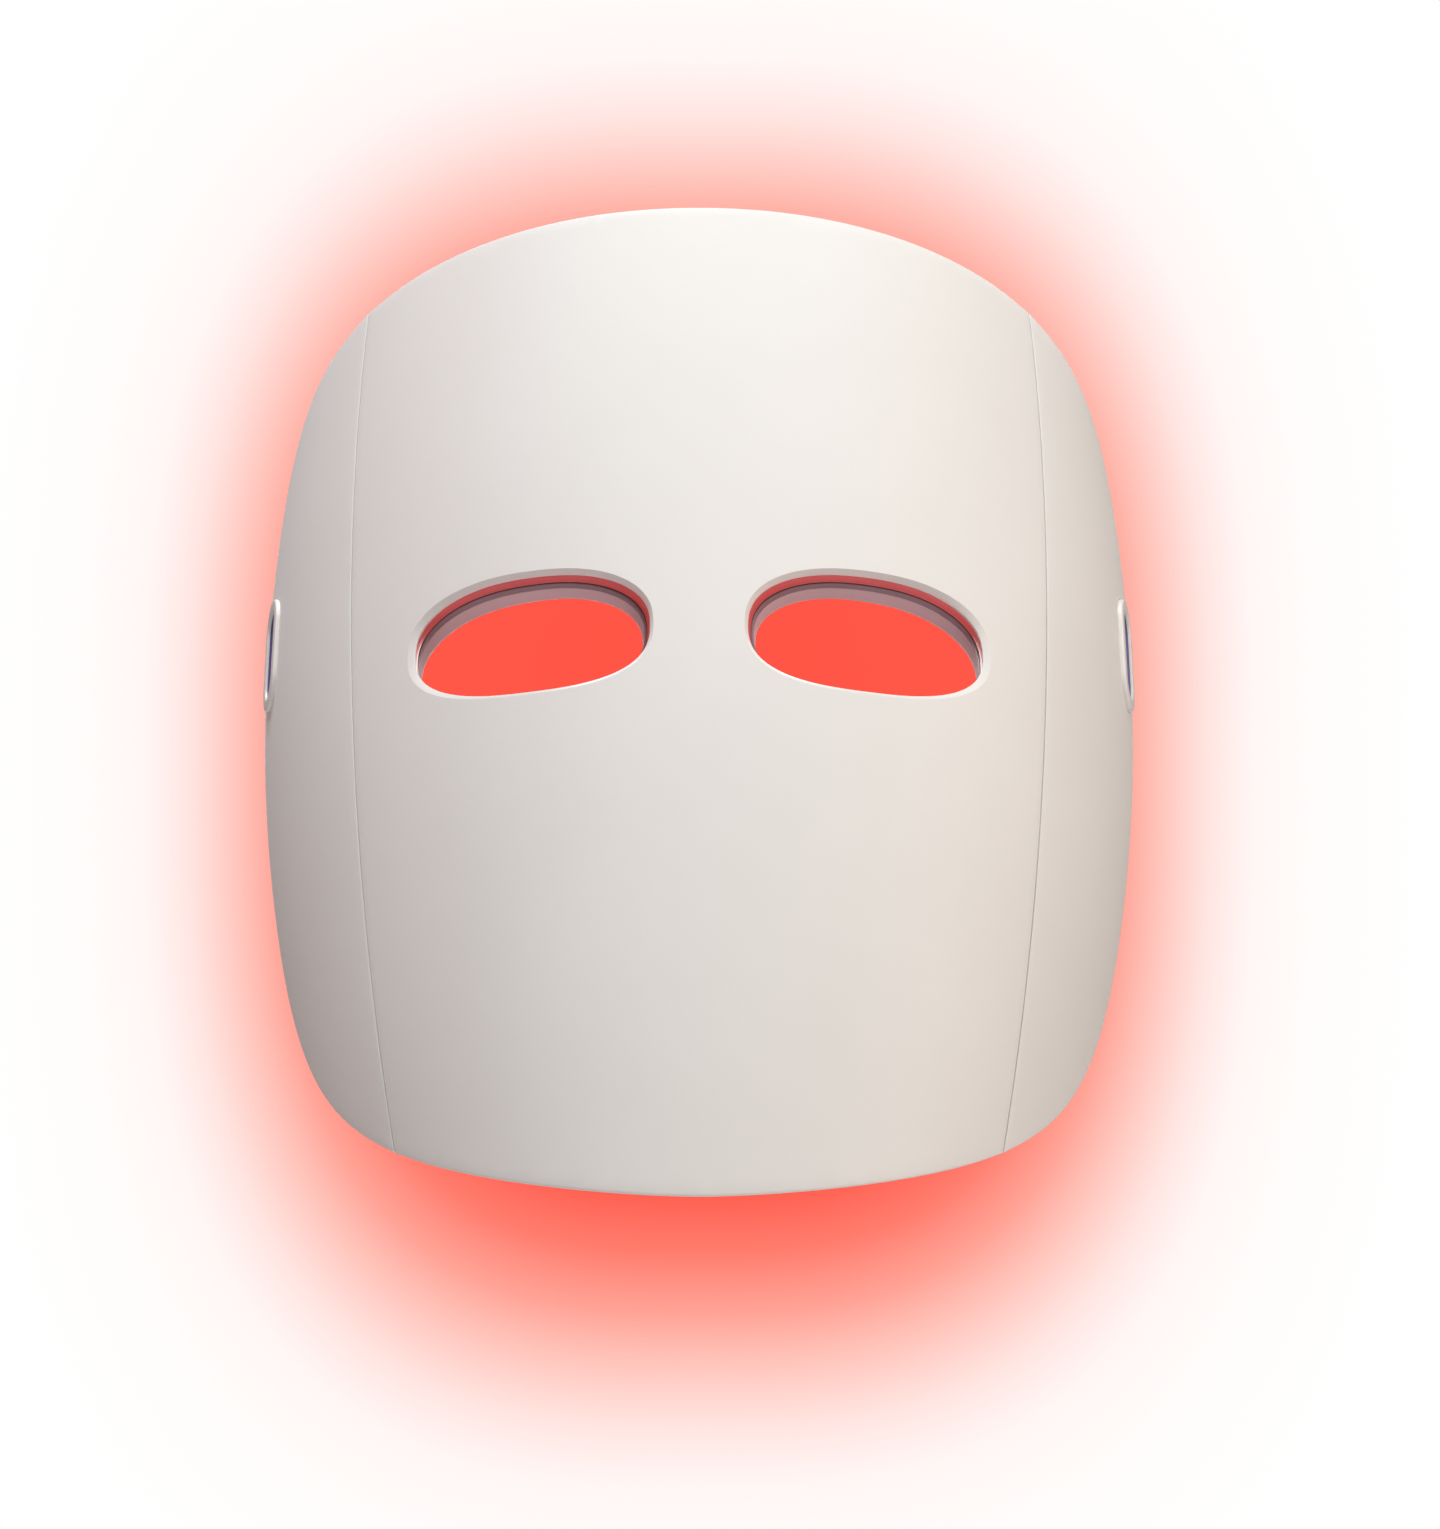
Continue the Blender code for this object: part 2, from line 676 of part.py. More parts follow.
def front_pieces(frame, finishes):
    """Shell, LED board and lens of the front panel."""
    spots = front_spots()

    def cut(obj, offset):
        boolean(obj, front_edges(frame, offset), "DIFFERENCE")

    def pockets():
        return hinge_pockets(frame, -1) + [mirror_builder(b) for b in hinge_pockets(frame, -1)]

    button = upright_place(top_point(BUTTON_X))
    port = upright_place(top_point(PORT_X))
    window = upright_place(top_point(0))
    button_hole = pill_points(BUTTON_SIZE[0] + 2 * GAP, BUTTON_SIZE[1] + 2 * GAP)
    port_hole = pill_points(PORT_SIZE[0] + 2 * GAP, PORT_SIZE[1] + 2 * GAP)
    window_hole = ring_points(WINDOW_RADIUS + GAP, ROUND_STEPS)
    holes = [loops_solid(stack(place, ((outline, -2 * RIM_WALL), (outline, 2 * RIM_WALL))))
             for place, outline in ((button, button_hole), (port, port_hole), (window, window_hole))]
    shell("front_shell", finishes["shell"], cut, cut, spots, eye_cutters(0) + pockets() + holes)

    board = liner("front_led_board", BOARD_DEPTHS, finishes["board"], cut,
                  eye_cutters(EYE_POCKET) + pockets() + screw_holes(spots))
    liner("front_lens", LENS_DEPTHS, finishes["lens"], cut, eye_cutters(EYE_POCKET) + pockets())

    def keep(wrap, level):
        margin = SEAM_WALL + LED_EDGE
        return all((
            inside_outline(wrap, level, RIM_WALL + LED_EDGE),
            seam_distance(frame, abs(wrap), level) < -margin,
            far_from(spots, wrap, level, SCREW_HEAD_RADIUS + LED_SIZE),
            clear_of_eyes(wrap, level),
            off_hinges(frame, wrap, level),
        ))

    add_leds(board, led_spots(keep))


def off_hinges(frame, wrap, level):
    """Whether a place is clear of the hinges' leaves."""
    near_seam = abs(seam_distance(frame, abs(wrap), level)) < LEAF_START + LEAF_WIDTH + LED_SIZE
    for hinge_level in HINGE_LEVELS.values():
        if near_seam and abs(level - hinge_level) < hinge_half_length() + LED_SIZE:
            return False
    return True


def wing_pieces(frame, finishes):
    """Shell, LED board and lens of the left wing, then their mirror images."""

    def cut(obj, offset):
        boolean(obj, [beyond_seam(frame, offset, 1)], "INTERSECT")

    shell_slot = slot_cutter(SLEEVE_WALL + GAP)
    recess_grow = 2 * (SLEEVE_WALL + BEZEL_WALL + 2 * GAP)
    recess = pill_points(SLOT_WIDTH + recess_grow, SLOT_HEIGHT + recess_grow)
    place = wall_frame(SLOT_WRAP, SLOT_LEVEL)
    bezel_recess = loops_solid(stack(place, ((recess, -BEZEL_SINK), (recess, WALL_DEPTH))))
    pieces = [shell("left_wing_shell", finishes["shell"], cut, cut, WING_SCREWS,
                    hinge_pockets(frame, 1) + [shell_slot, bezel_recess])]
    board = liner("left_wing_led_board", BOARD_DEPTHS, finishes["board"], cut,
                  hinge_pockets(frame, 1) + screw_holes(WING_SCREWS) + [slot_cutter(SLEEVE_WALL + GAP)])
    pieces.append(board)
    pieces.append(liner("left_wing_lens", LENS_DEPTHS, finishes["lens"], cut,
                        hinge_pockets(frame, 1) + [slot_cutter(SLEEVE_WALL + GAP)]))

    def keep(wrap, level):
        across = (wrap - SLOT_WRAP) * HALF_WRAP / SLOT_WIDTH
        up = (level - SLOT_LEVEL) / SLOT_HEIGHT
        return all((
            wrap > 0,
            math.hypot(across, up) > 1,
            inside_outline(wrap, level, RIM_WALL + LED_EDGE),
            seam_distance(frame, abs(wrap), level) > SEAM_WALL + LED_EDGE,
            far_from(WING_SCREWS, wrap, level, SCREW_HEAD_RADIUS + LED_SIZE),
            off_hinges(frame, wrap, level),
        ))

    add_leds(board, led_spots(keep))
    for piece in pieces:
        mirrored(piece.name.replace("left", "right"), piece)


def eye_pieces(finishes):
    """Light ring, seal, frame and cushion of each eye opening, front to back."""
    profiles = {name: ring_profile(*values) for name, values in EYE_RINGS.items()}
    step, front, back = EYE_CUSHION
    profiles["eye_cushion"] = (
        (EYE_RING_WIDTH, front),
        (EYE_RING_WIDTH, back - CUSHION_EDGE),
        (0, back),
        (-step, back - CUSHION_EDGE),
        (-step, front),
    )
    for name, profile in profiles.items():
        left = eye_ring("left_" + name, profile, finishes[name])
        mirrored("right_" + name, left)


def ring_profile(step, front, back):
    """Square ring section whose inner edge stands in from the opening by a step."""
    return (EYE_RING_WIDTH, front), (EYE_RING_WIDTH, back), (-step, back), (-step, front)


def strap_pieces(finishes):
    """Raised bezel round each strap slot, and the sleeve that lines the slot behind it."""
    place = wall_frame(SLOT_WRAP, SLOT_LEVEL)
    inner = pill_points(SLOT_WIDTH, SLOT_HEIGHT)
    sleeve_outer = pill_points(SLOT_WIDTH + 2 * SLEEVE_WALL, SLOT_HEIGHT + 2 * SLEEVE_WALL)
    back = -(WALL_DEPTH + SLEEVE_TAIL)
    front = -BEZEL_SINK
    sleeve = loops_solid(stack(place, ((sleeve_outer, back), (sleeve_outer, front), (inner, front),
                                       (inner, back))), closed=True)
    left = add_object("left_strap_sleeve", sleeve, finishes["sleeve"])
    mirrored("right_strap_sleeve", left)

    grow = 2 * (SLEEVE_WALL + GAP + BEZEL_WALL)
    bezel_outer = pill_points(SLOT_WIDTH + grow, SLOT_HEIGHT + grow)
    sink = -(BEZEL_SINK - GAP)
    bezel = loops_solid(stack(place, ((bezel_outer, sink), (bezel_outer, BEZEL_LIFT),
                                      (inner, BEZEL_LIFT), (inner, sink))), closed=True)
    left = add_object("left_strap_bezel", bezel, finishes["bezel"])
    mirrored("right_strap_bezel", left)


def knuckle(place, low, high):
    """One barrel length of a hinge leaf."""
    return cylinder_builder(place, BARREL_RADIUS, low, high)


def leaf(name, place, side, spans, finish):
    """Hinge leaf with knuckles over the given spans of the axis."""
    half = hinge_half_length()
    near, far = sorted((side * LEAF_START, side * (LEAF_START + LEAF_WIDTH)))
    plate = box_builder(place, (LEAF_BACK, near, -half), (LEAF_BACK + LEAF_THICK, far, half))
    result = add_object(name, plate, finish)
    joined = []
    for low, high in spans:
        near, far = sorted((0, side * (LEAF_START + LEAF_THICK)))
        neck_low = (LEAF_BACK + JOIN_INSET, near, low + JOIN_INSET)
        neck_high = (LEAF_BACK + LEAF_THICK - JOIN_INSET, far, high - JOIN_INSET)
        neck = box_builder(place, neck_low, neck_high)
        joined += [neck, knuckle(place, low, high)]
    boolean(result, joined, "UNION")
    bore = cylinder_builder(place, PIN_BORE_RADIUS, -2 * half, 2 * half, SMALL_ROUND_STEPS)
    boolean(result, [bore], "DIFFERENCE")
    return result


def hinge_pieces(frame, finishes):
    """Two butt hinges on each seam: a fixed leaf, a wing leaf and a pin."""
    half = hinge_half_length()
    for where, level in HINGE_LEVELS.items():
        place = hinge_frame(frame, level)
        ends = ((-half, -half + KNUCKLE_LENGTH), (half - KNUCKLE_LENGTH, half))
        middle = ((-KNUCKLE_LENGTH / 2, KNUCKLE_LENGTH / 2),)
        fixed = leaf("left_" + where + "_hinge_front_leaf", place, -1, ends, finishes["steel"])
        moving = leaf("left_" + where + "_hinge_wing_leaf", place, 1, middle, finishes["steel"])
        rod = cylinder_builder(place, PIN_RADIUS, -half, half, SMALL_ROUND_STEPS)
        pin = add_object("left_" + where + "_hinge_pin", rod, finishes["pin"])
        for piece in (fixed, moving, pin):
            other = mirrored(piece.name.replace("left", "right"), piece)
            set_origin(other, Vector((-place.translation.x, place.translation.y, place.translation.z)))
            set_origin(piece, place.translation)


def screw(name, spot, finish):
    """Pan-head screw along the wall's normal, its head behind the LED board."""
    place = boss_place(spot)
    seat = -(BOARD_DEPTHS[1] + SCREW_SEAT_GAP)
    shank = ring_points(SCREW_RADIUS, SMALL_ROUND_STEPS)
    head = ring_points(SCREW_HEAD_RADIUS, SMALL_ROUND_STEPS)
    loops = stack(place, ((shank, seat + SCREW_LENGTH), (shank, seat), (head, seat),
                          (head, seat - SCREW_HEAD_HEIGHT)))
    add_object(name, loops_solid(loops), finish)


def screws(finishes):
    """Screws of the front panel and of both wings."""
    names = ("upper_left", "upper_right", "lower_left", "lower_right")
    for name, spot in zip(names, front_spots()):
        screw("front_screw_" + name, spot, finishes["screw"])
    for where, (wrap, level) in zip(("upper", "lower"), WING_SCREWS):
        screw("left_wing_screw_" + where, (wrap, level), finishes["screw"])
        screw("right_wing_screw_" + where, (-wrap, level), finishes["screw"])


def electronics(finishes):
    """Control board, battery, power button, charging port and indicator window."""
    top = top_point(0)
    button_top = top_point(BUTTON_X)
    width, thick, height = CONTROL_SIZE
    level = top.z - CONTROL_TOP_DROP - height / 2
    place = wall_frame(0, level, CONTROL_DEPTH)
    board = centred_box(place, CONTROL_SIZE)
    board = add_object("control_board", board, finishes["circuit"])
    switch_width, switch_thick, switch_height = SWITCH_SIZE
    left, right = BUTTON_X - switch_width / 2, BUTTON_X + switch_width / 2
    switch_top = button_top.z - SWITCH_DROP - level
    switch_low = (left, switch_top - switch_height, 0)
    switch = box_builder(place, switch_low, (right, switch_top, thick / 2 + switch_thick))
    tab_half = thick / 2 - JOIN_INSET
    tab_low = (left - JOIN_INSET, 0, -tab_half)
    tab = box_builder(place, tab_low, (right + JOIN_INSET, switch_top - JOIN_INSET, tab_half))
    boolean(board, [tab, switch], "UNION")

    cell = centred_box(wall_frame(0, BATTERY_LEVEL, BATTERY_DEPTH), BATTERY_SIZE)
    cell = add_object("battery_cell", cell, finishes["battery"])
    bevel(cell, BATTERY_ROUNDING)

    cap = pill_points(*BUTTON_SIZE)
    flange = pill_points(BUTTON_SIZE[0] + 2 * BUTTON_FLANGE, BUTTON_SIZE[1])
    foot = BUTTON_PROUD - BUTTON_HEIGHT
    button = loops_solid(stack(upright_place(button_top), ((cap, BUTTON_PROUD), (cap, foot + BUTTON_FLANGE),
                                                          (flange, foot + BUTTON_FLANGE), (flange, foot))))
    button = add_object("power_button", button, finishes["button"])
    set_origin(button, button_top)

    port_top = top_point(PORT_X)
    outer = pill_points(PORT_SIZE[0], PORT_SIZE[1])
    inner = pill_points(PORT_SIZE[0] - 2 * PORT_WALL, PORT_SIZE[1] - 2 * PORT_WALL)
    floor = -PORT_SIZE[2] + PORT_DEPTH_LEFT
    port = loops_solid(stack(upright_place(port_top), ((outer, -PORT_SIZE[2]), (outer, 0), (inner, 0),
                                                       (inner, floor))))
    add_object("charging_port", port, finishes["steel"])

    light = cylinder_builder(upright_place(top), WINDOW_RADIUS, -WINDOW_LENGTH, 0)
    add_object("indicator_window", light, finishes["window"])


def bevel(obj, width):
    """Round an object's edges with a two-segment bevel."""
    modifier = obj.modifiers.new("rounding", "BEVEL")
    modifier.width = width
    modifier.segments = 2
    modifier.limit_method = "ANGLE"


def pad(name, size, level, back, finish):
    """Soft pill-shaped pad that follows the lens, from its inner face to a depth."""
    front = LENS_DEPTHS[1] + PAD_GAP
    small = (size[0] - 2 * PAD_ROUNDING, size[1] - 2 * PAD_ROUNDING)
    sections = ((size, front), (size, back - PAD_ROUNDING), (small, back))
    loops = []
    for outline_size, depth in sections:
        outline = pill_points(*outline_size)
        loops.append([depth_point(x, level + z, depth) for x, z in outline])
    add_object(name, loops_solid(loops), finish)


def pads(finishes):
    """Nose rest between the eyes and brow pad above them."""
    pad("nose_rest", NOSE_REST_SIZE, 0, FRONT_REACH, finishes["eye_cushion"])
    pad("brow_pad", BROW_PAD_SIZE, BROW_PAD_LEVEL, LENS_DEPTHS[1] + PAD_THICK, finishes["eye_cushion"])


def make_finishes():
    """All materials by their use."""
    return {
        "shell": material("soft_touch_shell", (0.86, 0.83, 0.79), 0.45),
        "board": material("flex_board", (0.88, 0.86, 0.84), 0.5),
        "lens": material("clear_liner", (0.90, 0.55, 0.50), 0.25),
        "eye_light_ring": material("light_ring", (0.75, 0.10, 0.16), 0.35),
        "eye_seal": material("seal_rubber", (0.03, 0.02, 0.03), 0.6),
        "eye_frame": material("eye_frame_plastic", (0.25, 0.10, 0.17), 0.45),
        "eye_cushion": material("silicone_cushion", (0.45, 0.26, 0.34), 0.6),
        "sleeve": material("slot_sleeve", (0.16, 0.11, 0.28), 0.4),
        "bezel": material("slot_bezel", (0.88, 0.85, 0.82), 0.4),
        "steel": material("sheet_steel", (0.60, 0.60, 0.62), 0.35, 1.0),
        "pin": material("pin_steel", (0.70, 0.70, 0.72), 0.25, 1.0),
        "screw": material("screw_steel", (0.45, 0.45, 0.47), 0.35, 1.0),
        "circuit": material("circuit_board", (0.04, 0.20, 0.10), 0.5),
        "battery": material("battery_foil", (0.65, 0.66, 0.68), 0.35, 0.6),
        "button": material("button_plastic", (0.80, 0.76, 0.73), 0.4),
        "window": material("indicator_window", (0.95, 0.80, 0.75), 0.2),
    }


def shade_all():
    """Smooth shading with sharp edges kept."""
    for obj in bpy.data.objects:
        if obj.type == "MESH":
            obj.data.shade_smooth()
            obj.data.set_sharp_from_angle(angle=SHARP_ANGLE)


def build():
    """Make the whole mask."""
    clear_scene()
    finishes = make_finishes()
    frame = seam_matrix()
    front_pieces(frame, finishes)
    wing_pieces(frame, finishes)
    eye_pieces(finishes)
    strap_pieces(finishes)
    hinge_pieces(frame, finishes)
    screws(finishes)
    electronics(finishes)
    pads(finishes)
    shade_all()


build()
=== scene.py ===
"""Looks of the LED face mask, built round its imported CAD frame.

Units are metres, +Z is up and the mask looks along -Y.  The wall of the mask is one curved
surface, addressed by a wrap (a share of the half width, signed towards +X), a level (Z) and
a depth below the outer surface.  A row is an array of (wrap, level).
"""
import json
import math
from collections import Counter

import bmesh
import bpy
import numpy as np
from mathutils import Matrix, Vector
from mathutils.geometry import delaunay_2d_cdt

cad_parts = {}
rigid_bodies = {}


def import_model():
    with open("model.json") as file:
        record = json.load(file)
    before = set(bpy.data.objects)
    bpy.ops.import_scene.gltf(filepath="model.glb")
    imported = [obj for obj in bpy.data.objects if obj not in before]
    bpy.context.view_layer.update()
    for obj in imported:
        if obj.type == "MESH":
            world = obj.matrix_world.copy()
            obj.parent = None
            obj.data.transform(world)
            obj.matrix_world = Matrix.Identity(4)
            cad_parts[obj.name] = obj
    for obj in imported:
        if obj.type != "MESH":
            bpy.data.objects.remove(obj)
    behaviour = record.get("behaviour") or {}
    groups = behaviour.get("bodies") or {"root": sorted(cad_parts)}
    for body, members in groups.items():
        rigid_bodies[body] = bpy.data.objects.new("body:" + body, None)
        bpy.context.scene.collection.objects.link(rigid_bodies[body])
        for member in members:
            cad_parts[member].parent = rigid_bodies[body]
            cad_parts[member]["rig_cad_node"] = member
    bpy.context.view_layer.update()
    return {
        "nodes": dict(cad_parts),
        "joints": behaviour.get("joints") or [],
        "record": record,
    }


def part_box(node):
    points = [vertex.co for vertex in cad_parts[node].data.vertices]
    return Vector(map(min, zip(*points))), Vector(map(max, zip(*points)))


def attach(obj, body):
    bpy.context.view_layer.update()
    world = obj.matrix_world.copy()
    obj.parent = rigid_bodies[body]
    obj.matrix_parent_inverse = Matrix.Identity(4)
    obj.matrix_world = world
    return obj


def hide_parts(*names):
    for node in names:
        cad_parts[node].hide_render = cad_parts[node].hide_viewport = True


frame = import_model()

MM = 0.001


def mm(*values):
    """Millimetres as a tuple of metres."""
    return tuple(value * MM for value in values)


# Wall surface.
HALF_WRAP = 139.5 * MM
UNROLL = np.array([HALF_WRAP, 1])  # turns (wrap, level) into lengths
SIDE_HEADING = 1.428
HEADING_EASE = 0.21
PLAN_REACH = 1.1
PLAN_STEPS = 4400
BOW_RADIUS = 1100 * MM
BOW_LEVEL = -18 * MM
WIDE_LEVEL = 20 * MM
TAPER_SPAN = 100 * MM
TAPER_UP = 0.146
TAPER_DOWN = 0.157
FRONT_REACH = 16 * MM

# Outline of the wall.
MIDLINE_LEVEL = -25.3 * MM
MIDLINE_DROP = 19.7 * MM
TOP_REACH = 121 * MM
TOP_POWER = 7.6
BOTTOM_REACH = 89 * MM
BOTTOM_POWER = 1.88
BOTTOM_DRAFT = 0.17
CORNER_START = 90 * MM

# Layers, as depths below the outer surface.
SHELL_SKIN = 1.8 * MM
WALL_DEPTH = 12.5 * MM
RIM_WALL = 1.6 * MM
SEAM_WALL = 1.3 * MM
GAP = 0.35 * MM
BOARD_DEPTHS = mm(8.6, 9.2)
BOARD_EDGE = 0.1 * MM
LENS_DEPTHS = mm(11.1, 12.1)
LENS_EDGE = 0.2 * MM

# Seams, which the wings fold about.
SEAM_X = 72.3 * MM
SEAM_GAP = 0.38 * MM
SEAM_START = 0.56
FOLD_SLOPE = math.tan(math.radians(21))

# Passes that settle a point on the wall, by what is looked for.
PROJECT_PASSES = 10
SLOT_PASSES = 12
SEAM_PASSES = 14
CORNER_PASSES = 9

# Hinge pockets.
HINGE_LEVELS = mm(62, -72)
POCKET_RADIUS = 3.0 * MM
POCKET_HALF_LENGTH = 9.9 * MM
LEAF_SPAN = mm(0.8, 2.7)
LEAF_REACH = 12.5 * MM

# Eye openings.
EYE_X = 33.9 * MM
EYE_HALF_WIDTH = 24.9 * MM
EYE_HALF_HEIGHT = 13.4 * MM
EYE_POWER = 2.43
EYE_STEPS = 144
EYE_POCKET = 1.9 * MM
EYE_RING_WIDTH = 1.5 * MM
# How far each edge round the eye stands in, at the top, outer end, nose end and bottom.
LIP_START = mm(0, -0.25, 0, 0.28)
LIP_STEPS = mm(0.75, 1.37, 0.70, 0.72)
LIP_DEPTHS = mm(1.5, 0.5, 1.1, 0.08)
RING_FRONT_STEPS = mm(0.80, 1.40, 0.78, 0.75)
RING_BACK_STEPS = mm(0.88, 1.43, 1.30, 0.80)
SEAL_STEPS = mm(0.93, 1.46, 1.38, 0.85)
FRAME_STEPS = mm(1.00, 1.50, 1.85, 0.90)
CUSHION_STEPS = mm(0.86, 1.58, 2.30, 1.00)
# The lip's section, as shares of its step in and of its depth, and the walls behind it.
LIP_SECTION = ((0, 0), (0.03, 0.02), (0.08, 0.065), (0.35, 0.32), (0.65, 0.63), (0.92, 0.92),
               (1, 1.03))
LIP_WALL = ((1, SHELL_SKIN - 0.05 * MM), (0.97, SHELL_SKIN))
LIP_CREASE = 0.12 * MM
# Rings behind the lip: edges in front and behind, their depths and the rounding of the edges.
EYE_BANDS = {
    "eye_light_ring": (RING_FRONT_STEPS, RING_BACK_STEPS, *mm(1.9, 5.0, 0.1)),
    "eye_seal": (SEAL_STEPS, SEAL_STEPS, *mm(5.03, 5.4, 0.08)),
    "eye_frame": (FRAME_STEPS, FRAME_STEPS, *mm(5.43, 7.6, 0.2)),
}
CUSHION_DEPTHS = mm(7.63, 12.0, 14.9)
CUSHION_EDGE = mm(0.3, 0.15)
CUSHION_WALL_ROWS = 7
CUSHION_LIP_ROWS = 15

# Strap slots.
SLOT_WRAP = 0.90
SLOT_LEVEL = 20.5 * MM
SLOT_WIDTH = 8 * MM
SLOT_HEIGHT = 20 * MM
SLOT_SPARE = 0.12 * MM
SLOT_BEVELS = mm(0.15, 0.1)
SLEEVE_WALL = 0.9 * MM
SLEEVE_FRONT = -0.25 * MM
SLEEVE_BACK = 13.2 * MM
SLEEVE_BEVELS = mm(0.1, 0.25, 0.3)
BEZEL_WALL = 1.5 * MM
BEZEL_SINK = 1.2 * MM
BEZEL_LIFT = 0.9 * MM
BEZEL_EDGE = 0.4 * MM
BEZEL_CLEAR = 0.06 * MM
BEZEL_LEDGE = 0.05 * MM
BEZEL_BORE = 0.04 * MM
PILL_STEPS = 24

# Holes in the top edge, cut between heights from the top of the shell.
TOP_HOLES = ("power_button", "charging_port", "indicator_window")
TOP_CUT = mm(-4, 3)
BUTTON_FLANGE = 1.2 * MM

# Screws at (wrap, level), and the bosses they enter.
FRONT_SCREWS = ((0.40, 76 * MM), (0.33, -76 * MM))
WING_SCREWS = ((0.84, 60 * MM), (0.84, -58 * MM))
BOSS_RADIUS = 2.3 * MM
BOSS_BORE_RADIUS = 1.15 * MM
BOSS_END = -8.2 * MM

# Soft pads: depths of their crowns, base, and shares of the narrower side they round over.
PAD_BACKS = {"nose_rest": 16 * MM, "brow_pad": 15.1 * MM}
PAD_CLEAR = 0.05 * MM
PAD_BASE = ((0.9 * MM, 0), (0.25 * MM, 0.25 * MM), (0, 0.8 * MM))
PAD_SHOULDER = 0.42
PAD_CROWN = 0.47
PAD_ROWS = 10

# LED packages.
LED_PITCH = 11.5 * MM
LED_EDGE = 4 * MM
LED_EYE_MARGIN = 3 * MM
LED_CLEAR = 4.5 * MM
LED_HINGE_CLEAR = 2 * MM
LED_SLOT_CLEAR = 5 * MM
LED_HALF_WIDTH = 1.4 * MM
LED_HEIGHT = 0.55 * MM
LED_BEVEL = 0.18 * MM
LED_SINK = 0.02 * MM
LED_DOME_RADIUS = 1.05 * MM
LED_DOME_HEIGHT = 0.8 * MM
LED_DOME_LIFT = 0.03 * MM
LED_DOME_TIP = 0.12
LED_DOME_ROWS = 5
LED_DOME_STEPS = 14

# Rounding of edges and spacing of the meshes.
CUT_SCALE = 1000.0
CIRCLE_STEPS = 40
RIM_ROUND = 0.45 * MM
SEAM_ROUND = 0.18 * MM
CORNER_BLEND = 3 * MM
ROUND_ROWS = 6
BAND_ROUND_ROWS = 4
SKIN_SPACING = 2.1 * MM
INNER_SPACING = 5 * MM
LAYER_SPACING = 3 * MM
GRID_ROW = 0.87
GRID_CLEAR = 0.55
SEAM_POINTS = 130
RIM_POINTS = 120
WING_RIM_POINTS = 240
WING_RIM_SAMPLES = 600
# Depths of the rows down a shell's outer and up its inner side, and insets of its back edge.
SIDE_DEPTHS = mm(1.6, 3, 4.5, 6, 7.5, 9, 10.5, 12.1)
INNER_DEPTHS = (*mm(12.1, 9, 6, 4), SHELL_SKIN)
BACK_NEAR, BACK_FAR = mm(0.1, 0.4)
# Section of a thin layer's rounded edge, as shares of its rounding.
LAYER_EDGE = ((1, 0), (0.3, 0.3), (0, 1))
# Creases sharper than these angles, in degrees, stay sharp.
PANEL_CREASE = 38
RING_CREASE = 50
SOFT_CREASE = 60
PACKAGE_CREASE = 30

# Camera and stage.
CAMERA_TILT = 0.35
CAMERA_DISTANCE = 0.6825
CAMERA_AIM = Vector((0, -0.016, -0.0253))
CAMERA_LENS = 82.4
CAMERA_SENSOR = 36
CAMERA_SHIFT = (0.0137, -0.0143)
FLOOR_LEVEL = -0.9
DOME_RADIUS = 3.0
FLOOR_SHARE = 0.95
STAGE_SEGMENTS = 96
# Glow on the backdrop: half size, height and power, and colours against half its radius.
GLOW_HALF_SIZE = (0.4726, 0.6026)
GLOW_RISE = -0.047
GLOW_POWER = 2.75
GLOW_STOPS = (
    (0.0, (1.0, 0.088, 0.058)),
    (0.36, (1.0, 0.10, 0.068)),
    (0.42, (1.0, 0.21, 0.16)),
    (0.47, (1.0, 0.37, 0.31)),
    (0.505, (1.0, 0.53, 0.47)),
    (0.565, (1.0, 0.79, 0.76)),
    (0.61, (1.0, 0.92, 0.91)),
    (0.68, (1.0, 0.975, 0.965)),
    (0.80, (1.0, 1.0, 1.0)),
)
# Soft lights round the mask: azimuth from the front and elevation in degrees, power, colour.
STUDIO_LIGHTS = {
    "high_left": (-35, 70, 25.0, (0.845, 0.97, 1.0)),
    "front": (0, 40, 6.7, (0.97, 1.0, 0.915)),
    "high_right": (35, 40, 6.6, (0.86, 0.92, 1.0)),
    "warm_side": (65, 10, 10.1, (1.0, 0.78, 0.63)),
    "rose_side": (-65, 40, 3.1, (1.0, 0.12, 0.10)),
    "rear": (180, 20, 8.0, (1.0, 0.97, 0.95)),
}
LIGHT_DISTANCE = 1.7
LIGHT_SIZE = 0.9
FILL_COLOR = (1.0, 0.98, 0.97, 1)
FILL_STRENGTH = 0.15


# ---- wall surface

def heading(wrap):
    """Angle of the plan curve at a share of the half wrap."""
    eased = wrap * wrap * (3 - 2 * wrap)
    return SIDE_HEADING * ((1 - HEADING_EASE) * wrap + HEADING_EASE * eased)


def plan_table():
    """The plan curve as arrays of wrap, x and y."""
    wraps = np.linspace(0, PLAN_REACH, PLAN_STEPS + 1)
    angles = heading(wraps)
    step = HALF_WRAP * (wraps[1] - wraps[0])
    x_steps = step * (np.cos(angles[1:]) + np.cos(angles[:-1])) / 2
    y_steps = step * (np.sin(angles[1:]) + np.sin(angles[:-1])) / 2
    return wraps, np.append(0, np.cumsum(x_steps)), np.append(0, np.cumsum(y_steps))


PLAN_WRAP, PLAN_X, PLAN_Y = plan_table()


def taper_strength(level):
    """How fast the wall narrows at a level."""
    return np.where(level > WIDE_LEVEL, TAPER_UP, TAPER_DOWN)


def taper(level):
    """Width factor at a level."""
    return 1 - taper_strength(level) * ((level - WIDE_LEVEL) / TAPER_SPAN) ** 2


